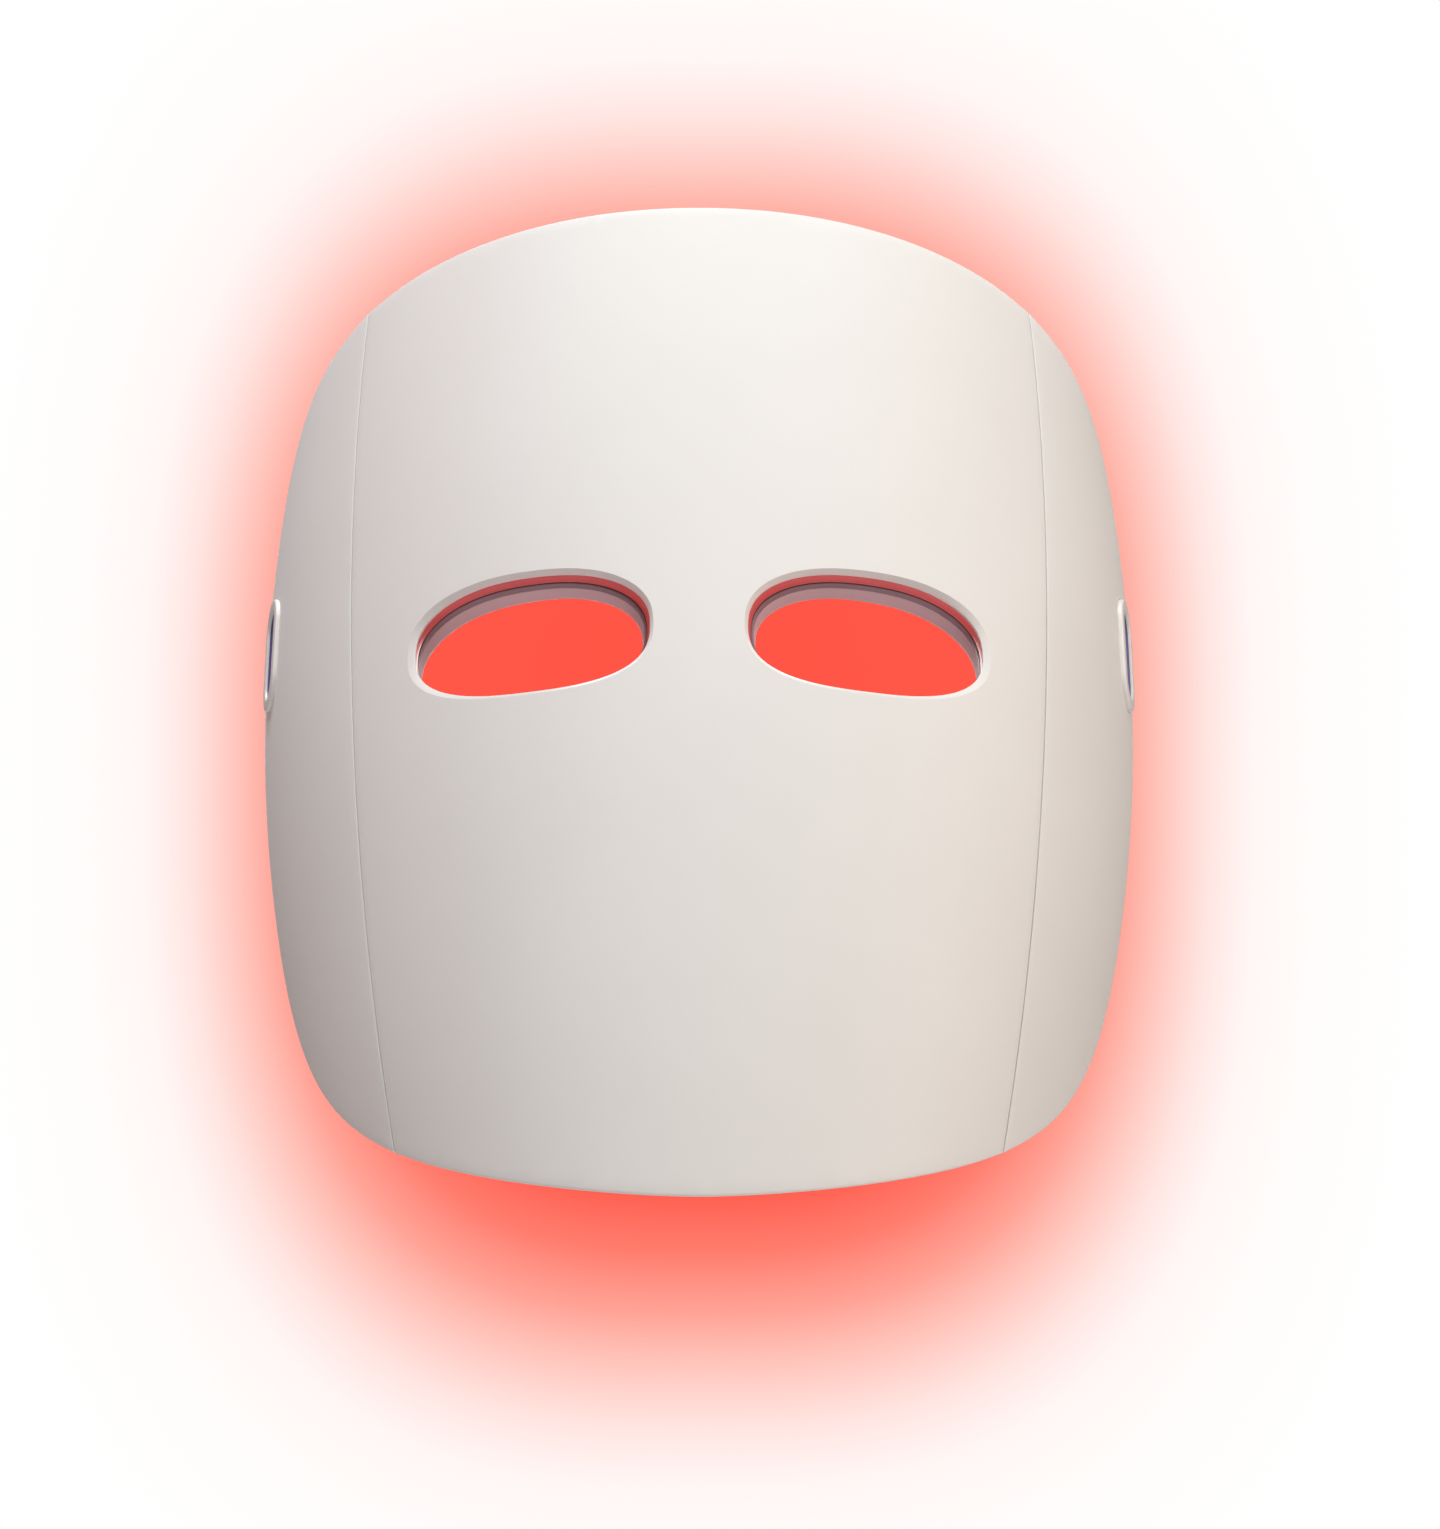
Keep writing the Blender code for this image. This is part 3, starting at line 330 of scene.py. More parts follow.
def wall_points(wrap, level, depth):
    """Points (N, 3) of the wall at arrays of wrap, level and depth."""
    arrays = (np.asarray(a, float) for a in (wrap, level, depth))
    wrap, level, depth = np.broadcast_arrays(*arrays)
    side = np.where(wrap < 0, -1.0, 1.0)
    angle = heading(np.abs(wrap))
    plan_x = side * np.interp(np.abs(wrap), PLAN_WRAP, PLAN_X)
    plan_y = np.interp(np.abs(wrap), PLAN_WRAP, PLAN_Y)
    factor = taper(level)
    slope = -2 * taper_strength(level) * (level - WIDE_LEVEL) / TAPER_SPAN ** 2
    fall = np.sqrt(BOW_RADIUS ** 2 - (level - BOW_LEVEL) ** 2)
    surface_y = BOW_RADIUS - fall + plan_y * factor - FRONT_REACH
    surface = np.stack([plan_x * factor, surface_y, level], -1)
    along_plan = np.stack([np.cos(angle), side * np.sin(angle), np.zeros_like(level)], -1)
    rise_y = (level - BOW_LEVEL) / fall + plan_y * slope
    along_height = np.stack([plan_x * slope, rise_y, np.ones_like(level)], -1)
    normal = np.cross(along_plan, along_height)
    normal /= np.linalg.norm(normal, axis=-1, keepdims=True)
    return surface - depth[..., None] * normal


def on_wall(row, depth):
    """Points of the wall at a row and a depth."""
    return wall_points(row[:, 0], row[:, 1], depth)


def placed(origin, axes):
    """Matrix with an origin and three local axes."""
    return Matrix.Translation(origin) @ Matrix(axes).transposed().to_4x4()


def wall_frame(wrap, level, depth=0.0):
    """Matrix at a wall point: local Z outward, local Y up the wall."""
    origin, below = (wall_points([wrap], [level], [d])[0] for d in (depth, depth + MM))
    outward = Vector(origin - below).normalized()
    across = Vector((0, 0, 1)).cross(outward).normalized()
    return placed(Vector(origin), (across, outward.cross(across), outward))


def project(x, z, depth):
    """Row whose points at a depth have the given x and z."""
    side = np.where(x < 0, -1.0, 1.0)
    wrap = side * np.interp(np.abs(x) / taper(z), PLAN_X, PLAN_WRAP)
    level = z.copy()
    for _ in range(PROJECT_PASSES):
        points = wall_points(wrap, level, depth)
        wrap = wrap + (x - points[:, 0]) / (HALF_WRAP * np.cos(heading(np.abs(wrap))))
        level = level + z - points[:, 2]
    return np.stack([wrap, level], -1)


# ---- seams and panel loops

def seam_axes():
    """Origin, outward, across and along vectors of the left seam, from its joint."""
    joint = next(j for j in frame["joints"] if j["name"] == "left_wing_fold")
    along = Vector(joint["axis"]).normalized()
    wrap = np.interp(SEAM_X / taper(WIDE_LEVEL), PLAN_X, PLAN_WRAP)
    angle = float(heading(wrap))
    outward = Vector((math.sin(angle), -math.cos(angle), 0))
    outward = (outward - outward.dot(along) * along).normalized()
    return Vector(joint["pos_m"]), outward, along.cross(outward), along


SEAM_ORIGIN, SEAM_OUT, SEAM_ACROSS, SEAM_ALONG = seam_axes()


def seam_wrap(level, depth, offset, side):
    """Wraps where the wall at a depth meets a seam wall moved in by an offset.

    side is 1 for the wing's edge and -1 for the front panel's.  Behind the hinge axis the
    edge falls away, so that the wing can fold.
    """
    wrap = np.full(len(level), SEAM_START)
    for _ in range(SEAM_PASSES):
        relative = wall_points(wrap, level, depth) - np.array(SEAM_ORIGIN)
        behind = np.maximum(0, -(relative @ np.array(SEAM_OUT)))
        edge = side * (SEAM_GAP / 2 + offset + FOLD_SLOPE * behind)
        wrap = wrap + (edge - relative @ np.array(SEAM_ACROSS)) / HALF_WRAP
    return wrap


def half_shape(up, depth):
    """Power and reach of the upper (up 1) or lower (up -1) half of the outline at a depth."""
    if up > 0:
        return TOP_POWER, TOP_REACH
    return BOTTOM_POWER, BOTTOM_REACH - BOTTOM_DRAFT * depth


def rim_level(wrap, up, inset, depth):
    """Level of the rim's upper or lower half at wraps and a depth."""
    power, reach = half_shape(up, depth)
    share = np.clip(np.abs(wrap) / (1 - inset / HALF_WRAP), 0, 1)
    rise = (1 - share ** power) ** (1 / power)
    return MIDLINE_LEVEL - MIDLINE_DROP * wrap ** 2 + up * (reach - inset) * rise


def seam_corner(up, rim_inset, seam_inset, depth, side):
    """Wrap and level where a seam wall meets the rim."""
    level = np.array([up * CORNER_START])
    for _ in range(CORNER_PASSES):
        wrap = seam_wrap(level, depth, seam_inset, side)
        level = rim_level(wrap, up, rim_inset, depth)
    return float(wrap[0]), float(level[0])


def resample(points, count):
    """Points evenly spaced along a polyline of (wrap, level), ends included."""
    length = np.append(0, np.cumsum(np.linalg.norm(np.diff(points * UNROLL, axis=0), axis=1)))
    where = np.linspace(0, length[-1], count)
    return np.stack([np.interp(where, length, points[:, k]) for k in range(2)], -1)


def seam_run(start, end, inset, depth, side):
    """Row up or down a seam wall between two levels."""
    levels = np.linspace(start, end, SEAM_POINTS)
    return np.stack([seam_wrap(levels, depth, inset, side), levels], -1)


def rim_run(start, up, inset, depth):
    """Row across the rim from a wrap to its mirror image, ends left out."""
    across = np.linspace(start, -start, RIM_POINTS)
    return np.stack([across, rim_level(across, up, inset, depth)], -1)[1:-1]


def front_loop(rim_inset, seam_inset, depth):
    """Border of the front panel at a depth."""
    top = seam_corner(1, rim_inset, seam_inset, depth, -1)
    bottom = seam_corner(-1, rim_inset, seam_inset, depth, -1)
    seam = seam_run(bottom[1], top[1], seam_inset, depth, -1)
    upper = rim_run(top[0], 1, rim_inset, depth)
    lower = rim_run(-bottom[0], -1, rim_inset, depth)
    return np.concatenate([seam, upper, seam[::-1] * np.array([-1, 1]), lower])


def wing_loop(rim_inset, seam_inset, depth):
    """Border of the left wing at a depth."""
    top = seam_corner(1, rim_inset, seam_inset, depth, 1)
    bottom = seam_corner(-1, rim_inset, seam_inset, depth, 1)
    halves = []
    share = np.linspace(0, 1, WING_RIM_SAMPLES)
    for up, corner in ((-1, bottom), (1, top)):
        power, reach = half_shape(up, depth)
        across = np.append(np.ones_like(share), share[-2::-1])
        rise = np.append(share, np.ones_like(share[:-1]))
        fade = (across ** power + rise ** power) ** (-1 / power)
        wrap = across * fade * (1 - rim_inset / HALF_WRAP)
        level = MIDLINE_LEVEL - MIDLINE_DROP * wrap ** 2 + up * rise * fade * (reach - rim_inset)
        inside = wrap > corner[0] + 1e-6
        half = np.stack([wrap[inside], level[inside]], -1)
        halves.append(np.concatenate([half, [corner]]))
    rim = resample(np.concatenate([halves[0][::-1], halves[1][1:]]), WING_RIM_POINTS)
    return np.concatenate([seam_run(top[1], bottom[1], seam_inset, depth, 1), rim[1:-1]])


# Which points of each border lie on a seam.
FRONT_HALF = SEAM_POINTS + RIM_POINTS - 2
FRONT_MASK = np.arange(2 * FRONT_HALF) % FRONT_HALF < SEAM_POINTS
WING_MASK = np.arange(SEAM_POINTS + WING_RIM_POINTS - 2) < SEAM_POINTS


def corner_weights(loop, mask):
    """Share of the rim's full rounding at each border point: none on a seam or its corners."""
    points = on_wall(loop, 0)
    seam = points[mask]
    gaps = np.array([np.min(np.linalg.norm(seam - p, axis=1)) for p in points])
    share = np.clip(gaps / CORNER_BLEND, 0, 1)
    return share * share * (3 - 2 * share)


# ---- mesh building

def link(name, data):
    """New object of the scene."""
    obj = bpy.data.objects.new(name, data)
    bpy.context.scene.collection.objects.link(obj)
    return obj


def to_mesh(name, builder):
    """New mesh of a bmesh, which is freed."""
    mesh = bpy.data.meshes.new(name)
    builder.to_mesh(mesh)
    builder.free()
    return mesh


def shade(obj, crease=PANEL_CREASE):
    """Smooth shading that keeps edges above an angle sharp."""
    obj.data.shade_smooth()
    obj.data.set_sharp_from_angle(angle=math.radians(crease))


def inside_polygon(points, polygon):
    """Which points lie inside a closed polygon."""
    inside = np.zeros(len(points), bool)
    x, y = points[:, 0], points[:, 1]
    for (ax, ay), (bx, by) in zip(polygon, np.roll(polygon, -1, axis=0)):
        crosses = (ay > y) != (by > y)
        if not crosses.any():
            continue
        run = ax + (y - ay) * (bx - ax) / (by - ay if by != ay else 1)
        inside ^= crosses & (x < run)
    return inside


def inside_loops(points, loops):
    """Which points lie inside the first loop and outside the rest."""
    inside = inside_polygon(points, loops[0])
    for hole in loops[1:]:
        inside &= ~inside_polygon(points, hole)
    return inside


def grid_inside(loops, pitch):
    """Points of a triangular grid inside the first loop, outside the rest and clear of all."""
    low, high = loops[0].min(0), loops[0].max(0)
    rows = []
    for j, y in enumerate(np.arange(low[1] + pitch / 2, high[1], pitch * GRID_ROW)):
        x = np.arange(low[0] + pitch / 2 + (j % 2) * pitch / 2, high[0], pitch)
        rows.append(np.stack([x, np.full_like(x, y)], -1))
    points = np.concatenate(rows)
    points = points[inside_loops(points, loops)]
    gap = np.full(len(points), np.inf)
    for p in np.concatenate(loops):
        gap = np.minimum(gap, (points[:, 0] - p[0]) ** 2 + (points[:, 1] - p[1]) ** 2)
    return points[gap > (GRID_CLEAR * pitch) ** 2]


def without_strays(triangles, borders):
    """Triangles less the slivers that rounding keeps outside a border."""
    while True:
        sides = [[frozenset((t[i - 1], t[i])) for i in range(3)] for t in triangles]
        uses = Counter(side for three in sides for side in three)
        kept = [triangle for triangle, three in zip(triangles, sides)
                if all(uses[side] > 1 or side in borders for side in three)]
        if len(kept) == len(triangles):
            return kept
        triangles = kept


class Skin:
    """Closed mesh put together from rows of points, bridged in turn, and filled sheets."""

    def __init__(self):
        self.points = []
        self.faces = []

    def add(self, points):
        """Add points and return their indices."""
        first = len(self.points)
        self.points.extend(map(tuple, points))
        return list(range(first, len(self.points)))

    def bridge(self, row, other):
        """Quads between two closed rows of the same length."""
        count = len(row)
        for i in range(count):
            j = (i + 1) % count
            self.faces.append((row[i], row[j], other[j], other[i]))

    def rows(self, rows):
        """Add rows of points and bridge each to the next; returns their indices."""
        indices = [self.add(row) for row in rows]
        for row, other in zip(indices, indices[1:]):
            self.bridge(row, other)
        return indices

    def solid(self, rows):
        """Add rows of points as a solid with a flat face at either end."""
        indices = self.rows(rows)
        self.faces += [tuple(indices[0][::-1]), tuple(indices[-1])]

    def fill(self, borders, spacing, depth):
        """Triangulate the sheet at a depth between borders of (row, indices)."""
        flat = [row * UNROLL * CUT_SCALE for row, _ in borders]
        inner = grid_inside(flat, spacing * CUT_SCALE)
        coords = np.concatenate(flat + [inner])
        edges, first = [], 0
        for row in flat:
            count = len(row)
            edges += [(first + i, first + (i + 1) % count) for i in range(count)]
            first += count
        result = delaunay_2d_cdt([Vector(p) for p in coords], edges, [], 0, 1e-6)
        known = [index for _, indices in borders for index in indices]
        known += self.add(on_wall(inner / CUT_SCALE / UNROLL, depth))
        corners = np.array([v[:] for v in result[0]])
        triangles = np.array([face for face in result[2]])
        inside = inside_loops(corners[triangles].mean(axis=1), flat)
        original = [sources[0] for sources in result[3]]
        kept = [tuple(original[k] for k in triangle) for triangle in triangles[inside]]
        for triangle in without_strays(kept, set(map(frozenset, edges))):
            self.faces.append(tuple(known[k] for k in triangle))

    def builder(self):
        """The skin as a bmesh with outward normals."""
        builder = bmesh.new()
        verts = [builder.verts.new(point) for point in self.points]
        for face in self.faces:
            builder.faces.new([verts[k] for k in face])
        bmesh.ops.remove_doubles(builder, verts=builder.verts, dist=1e-7)
        bmesh.ops.recalc_face_normals(builder, faces=builder.faces)
        return builder

    def object(self, name, crease=PANEL_CREASE):
        """The skin as an object."""
        obj = link(name, to_mesh(name, self.builder()))
        shade(obj, crease)
        return obj


def stacked(place, sections):
    """Rows of points of (outline, local z) sections."""
    return [[place @ Vector((x, y, z)) for x, y in outline] for outline, z in sections]


def prism(place, sections):
    """Closed bmesh skinned over (outline, local z) sections and capped."""
    skin = Skin()
    skin.solid(stacked(place, sections))
    return skin.builder()


def mirror_builder(builder):
    """Mirror a bmesh across the middle plane, in place."""
    bmesh.ops.scale(builder, vec=(-1, 1, 1), verts=builder.verts)
    bmesh.ops.reverse_faces(builder, faces=builder.faces)
    return builder


def mirrored(source):
    """Mirror image of a left object, named for the right side."""
    builder = bmesh.new()
    builder.from_mesh(source.data)
    name = source.name.replace("left", "right")
    obj = link(name, to_mesh(name, mirror_builder(builder)))
    shade(obj)
    return obj


def with_right(left):
    """Objects by left CAD node, joined by their mirror images."""
    right = {node.replace("left", "right"): mirrored(source) for node, source in left.items()}
    return {**left, **right}


def boolean(target, builders, operation):
    """Cut or join several solids with an object, enlarged for the solver's tolerances."""
    target.data.transform(Matrix.Scale(CUT_SCALE, 4))
    cutters = bpy.data.collections.new("cutters")
    for builder in builders:
        bmesh.ops.scale(builder, vec=(CUT_SCALE,) * 3, verts=builder.verts)
        bmesh.ops.triangulate(builder, faces=builder.faces)
        cutters.objects.link(bpy.data.objects.new("cutter", to_mesh("cutter", builder)))
    modifier = target.modifiers.new("boolean", "BOOLEAN")
    modifier.operation = operation
    modifier.solver = "MANIFOLD"
    modifier.operand_type = "COLLECTION"
    modifier.collection = cutters
    bpy.context.view_layer.update()
    evaluated = target.evaluated_get(bpy.context.evaluated_depsgraph_get())
    mesh = bpy.data.meshes.new_from_object(evaluated)
    target.modifiers.clear()
    target.data = mesh
    for cutter in list(cutters.objects):
        bpy.data.objects.remove(cutter, do_unlink=True)
    bpy.data.collections.remove(cutters)
    mesh.transform(Matrix.Scale(1 / CUT_SCALE, 4))
    shade(target)


def turn(steps):
    """Angles once round."""
    return np.linspace(0, 2 * math.pi, steps, endpoint=False)


def circle(radius, steps=CIRCLE_STEPS):
    """Circle as (x, y) pairs."""
    return radius * np.stack([np.cos(turn(steps)), np.sin(turn(steps))], -1)


def pill(width, height):
    """Pill outline as (x, y) pairs."""
    radius = min(width, height) / 2
    reach = abs(width - height) / 2
    points = []
    for end in (1, -1):
        for i in range(PILL_STEPS + 1):
            angle = math.pi * i / PILL_STEPS
            across = end * radius * math.cos(angle)
            along = end * (reach + radius * math.sin(angle))
            points.append((across, along) if height > width else (along, -across))
    return np.array(points)


def rounding(radius, rows=ROUND_ROWS):
    """Quarter-round from the face to the side, as (inset, depth) pairs."""
    angles = np.linspace(0, math.pi / 2, rows)
    return [(radius * (1 - math.sin(a)), radius * (1 - math.cos(a))) for a in angles]


def eye_loop(margin):
    """Left eye outline grown by a margin, or by one for each point, as (x, z)."""
    cos, sin = np.cos(turn(EYE_STEPS)), np.sin(turn(EYE_STEPS))
    right, up = (np.sign(part) * np.abs(part) ** (2 / EYE_POWER) for part in (cos, sin))
    x = EYE_X + (EYE_HALF_WIDTH + margin) * right
    return np.stack([x, (EYE_HALF_HEIGHT + margin) * up], -1)


def eye_margin(steps):
    """Margins round the eye that stand in by steps at its top, outer end, nose end and bottom."""
    cos, sin = np.cos(turn(EYE_STEPS)), np.sin(turn(EYE_STEPS))
    top, outer, nose, bottom = steps
    across = np.where(cos > 0, outer, nose) * cos ** 2
    return -across - np.where(sin > 0, top, bottom) * sin ** 2


def eye_outline(margin, depth, side=1):
    """Row of an eye's outline grown by a margin, at a depth."""
    outline = eye_loop(margin)
    return project(side * outline[:, 0], outline[:, 1], depth)


SLOT_PLACE = wall_frame(SLOT_WRAP, SLOT_LEVEL)


def slot_outline(margin, depth):
    """Row of the strap slot's outline grown by a margin, at a depth."""
    across, up = pill(SLOT_WIDTH + 2 * margin, SLOT_HEIGHT + 2 * margin).T
    inverse = np.array(SLOT_PLACE.inverted())
    wrap, level = SLOT_WRAP + across / HALF_WRAP, SLOT_LEVEL + up
    for _ in range(SLOT_PASSES):
        local = wall_points(wrap, level, depth) @ inverse[:3, :3].T + inverse[:3, 3]
        wrap = wrap + (across - local[:, 0]) / HALF_WRAP
        level = level + (up - local[:, 1])
    return np.stack([wrap, level], -1)


# ---- panels

def border_rows(loop, mask, side):
    """Rounded outer edge of a panel, as (row, depths)."""
    flush = loop(0, 0, 0)
    inner = loop(MM, MM, 0)
    radius = SEAM_ROUND + (RIM_ROUND - SEAM_ROUND) * corner_weights(flush, mask)
    rows = []
    for inset_share, depth_share in rounding(1.0):
        inset, depth = radius * inset_share, radius * depth_share
        row = flush + (inset / MM)[:, None] * (inner - flush)
        sign = np.where(row[mask, 0] < 0, -1.0, 1.0)
        row[mask, 0] = sign * seam_wrap(row[mask, 1], depth[mask], inset[mask], side)
        rows.append((row, depth))
    return rows


def wall_rows(loop):
    """Rows of a shell down its outer side, round its back edge and up its inner side."""
    places = [(0, 0, depth) for depth in SIDE_DEPTHS]
    near, far = WALL_DEPTH - BACK_NEAR, WALL_DEPTH
    places += [(BACK_NEAR, BACK_NEAR, near), (BACK_FAR, BACK_FAR, far)]
    places += [(RIM_WALL - inset, SEAM_WALL - inset, depth)
               for inset, depth in ((BACK_FAR, far), (BACK_NEAR, near))]
    places += [(RIM_WALL, SEAM_WALL, depth) for depth in INNER_DEPTHS]
    return [(loop(rim, seam, depth), depth) for rim, seam, depth in places]


def closed_panel(name, sections, sheets):
    """Panel of (row, depth) sections, one for its border and one for each hole.

    Every section runs from the outer sheet to the inner one; sheets are their depth and spacing.
    """
    skin = Skin()
    borders = []
    for rows in sections:
        first, *_, last = skin.rows([on_wall(*pair) for pair in rows])
        borders.append(((rows[0][0], first), (rows[-1][0], last)))
    for border, (depth, spacing) in zip(zip(*borders), sheets):
        skin.fill(border, spacing, depth)
    return skin.object(name)


def shell_panel(name, loop, mask, side, holes):
    """Fine open-backed shell with holes given as rows."""
    rows = border_rows(loop, mask, side) + wall_rows(loop)
    return closed_panel(name, [rows, *holes], ((0, SKIN_SPACING), (SHELL_SKIN, INNER_SPACING)))


def layer_panel(name, loop, depths, pockets, edge):
    """Fine thin layer inside a shell between two depths, with small rounded edges."""
    top, bottom = depths
    profile = [(edge * inset, top + edge * drop) for inset, drop in LAYER_EDGE]
    profile += [(edge * inset, bottom - edge * drop) for inset, drop in LAYER_EDGE[::-1]]
    rim, seam = RIM_WALL + GAP, SEAM_WALL + GAP
    sections = [[(loop(rim + inset, seam + inset, depth), depth) for inset, depth in profile]]
    for outline in pockets:
        sections.append([(outline(inset, depth), depth) for inset, depth in profile])
    return closed_panel(name, sections, [(depth, LAYER_SPACING) for depth in depths])


def eye_hole(side):
    """Rows of an eye opening through the shell, from the outer sheet to the inner."""
    start, lip = eye_margin(LIP_START), eye_margin(LIP_STEPS)
    full = -eye_margin(LIP_DEPTHS)
    # The first row stands just outside the lip, to keep its crease crisp.
    sections = [(start + LIP_CREASE, 0)]
    sections += [(start + share * (lip - start), full * drop) for share, drop in LIP_SECTION]
    sections += [(start + share * (lip - start), depth) for share, depth in LIP_WALL]
    return [(eye_outline(margin, depth, side), depth) for margin, depth in sections]


def eye_pocket(side):
    """Maker of an eye pocket's outline in a layer."""
    return lambda shift, depth: eye_outline(EYE_POCKET + shift, depth, side)


def slot_hole():
    """Rows of the strap slot through the wing shell, with the recess for its bezel."""
    recess = SLEEVE_WALL + BEZEL_WALL + GAP + SLOT_SPARE
    inner = SLEEVE_WALL + GAP
    mouth, end = SLOT_BEVELS
    profile = [(recess + mouth, 0), (recess, mouth), (recess, BEZEL_SINK),
               (inner, BEZEL_SINK), (inner, SHELL_SKIN - end), (inner + end, SHELL_SKIN)]
    return [(slot_outline(margin, depth), depth) for margin, depth in profile]


def slot_pocket(shift, depth):
    """Outline of the slot's hole in a layer."""
    return slot_outline(SLEEVE_WALL + GAP + shift, depth)


def seam_place(level):
    """Matrix on the hinge axis at a level: X outward, Y towards the wing, Z along."""
    travel = (level - SEAM_ORIGIN.z) / SEAM_ALONG.z
    return placed(SEAM_ORIGIN + travel * SEAM_ALONG, (SEAM_OUT, SEAM_ACROSS, SEAM_ALONG))


def hinge_pockets(side):
    """Room for the barrels and for the leaf on one side of the left seam."""
    pockets = []
    ends = (-POCKET_HALF_LENGTH, POCKET_HALF_LENGTH)
    near, far = sorted((0, side * LEAF_REACH))
    low, high = LEAF_SPAN
    box = [(low, near), (high, near), (high, far), (low, far)]
    for level in HINGE_LEVELS:
        for outline in (circle(POCKET_RADIUS), box):
            pockets.append(prism(seam_place(level), [(outline, z) for z in ends]))
    return pockets


def front_pockets():
    """Hinge pockets of the front panel, at both seams."""
    return hinge_pockets(-1) + [mirror_builder(b) for b in hinge_pockets(-1)]


def wing_pockets():
    """Hinge pockets of the left wing."""
    return hinge_pockets(1)


def posts(spots, radius, low, high):
    """Cylinders along the wall's normal at (wrap, level) spots."""
    return [prism(wall_frame(*spot), [(circle(radius), low), (circle(radius), high)])
            for spot in spots]


def top_cutters():
    """Holes through the top rim for the button, the port and the indicator window."""
    cutters = []
    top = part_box("front_shell")[1].z
    for node in TOP_HOLES:
        low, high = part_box(node)
        centre, size = (low + high) / 2, high - low
        if node == "indicator_window":
            outline = circle(size.x / 2 + GAP)
        else:
            hidden = 2 * BUTTON_FLANGE if node == "power_button" else 0
            outline = pill(size.x - hidden + 2 * GAP, size.y + 2 * GAP)
        place = Matrix.Translation((centre.x, centre.y, top))
        cutters.append(prism(place, [(outline, z) for z in TOP_CUT]))
    return cutters


def both_sides(spots):
    """Spots and their mirror images."""
    return [(side * wrap, level) for wrap, level in spots for side in (1, -1)]


def finish_panel(panel, shell, loop, spots, pockets, outlines, cutters=()):
    """Add bosses and holes to a panel's shell, and make its board and liner, by CAD node."""
    boolean(shell, posts(spots, BOSS_RADIUS, BOSS_END, -SHELL_SKIN / 2), "UNION")
    bores = posts(spots, BOSS_BORE_RADIUS, -WALL_DEPTH, -SHELL_SKIN - GAP)
    boolean(shell, [*bores, *pockets(), *cutters], "DIFFERENCE")
    board = layer_panel(panel + "_circuit", loop, BOARD_DEPTHS, outlines, BOARD_EDGE)
    boolean(board, pockets() + posts(spots, BOSS_BORE_RADIUS, -WALL_DEPTH, 0), "DIFFERENCE")
    liner = layer_panel(panel + "_liner", loop, LENS_DEPTHS, outlines, LENS_EDGE)
    boolean(liner, pockets(), "DIFFERENCE")
    return {panel + "_shell": shell, panel + "_led_board": board, panel + "_lens": liner}


def make_panels():
    """Shells, boards and liners of the front panel and of both wings."""
    holes = [eye_hole(1), eye_hole(-1)]
    shell = shell_panel("front_shell_skin", front_loop, FRONT_MASK, -1, holes)
    front = finish_panel("front", shell, front_loop, both_sides(FRONT_SCREWS), front_pockets,
                         [eye_pocket(1), eye_pocket(-1)], top_cutters())
    shell = shell_panel("left_wing_skin", wing_loop, WING_MASK, 1, [slot_hole()])
    wing = finish_panel("left_wing", shell, wing_loop, WING_SCREWS, wing_pockets, [slot_pocket])
    return {**front, **with_right(wing)}


# ---- eyes, slots and pads

def sweep(node, outline, profile):
    """Closed ring swept through (margin, depth) profile points round an outline maker."""
    skin = Skin()
    rows = skin.rows([on_wall(outline(margin, depth), depth) for margin, depth in profile])
    skin.bridge(rows[-1], rows[0])
    return skin.object(node + "_fine", RING_CREASE)


def band(front_steps, back_steps, front, back, edge):
    """Ring section between two depths, whose inner edge is given by its steps and rounded."""
    front_margin, back_margin = eye_margin(front_steps), eye_margin(back_steps)
    curve = rounding(edge, BAND_ROUND_ROWS)
    points = [(EYE_RING_WIDTH, back), (EYE_RING_WIDTH, front)]
    points += [(front_margin + inset, front + drop) for inset, drop in curve]
    points += [(back_margin + inset, back - drop) for inset, drop in reversed(curve)]
    return points


def cushion_profile():
    """Soft gasket section: a wall that swells a little and rolls over into a full lip."""
    front, swell, back = CUSHION_DEPTHS
    inset, drop = CUSHION_EDGE
    start, full = eye_margin(FRAME_STEPS), eye_margin(CUSHION_STEPS)
    points = [(EYE_RING_WIDTH, front), (start + inset, front)]
    for share in np.linspace(0, 1, CUSHION_WALL_ROWS):
        points.append((start + (full - start) * math.sin(share * math.pi / 2),
                       front + drop + share * (swell - front - drop)))
    middle = (full + EYE_RING_WIDTH) / 2
    for angle in np.linspace(0, math.pi, CUSHION_LIP_ROWS)[1:-1]:
        points.append((middle + (full - middle) * math.cos(angle),
                       swell + (back - swell) * math.sin(angle)))
    points.append((EYE_RING_WIDTH, swell))
    return points


def make_eyes():
    """Light ring, seal, frame and cushion round each eye."""
    profiles = {node: band(*values) for node, values in EYE_BANDS.items()}
    profiles["eye_cushion"] = cushion_profile()
    return with_right({"left_" + node: sweep("left_" + node, eye_outline, profile)
                       for node, profile in profiles.items()})


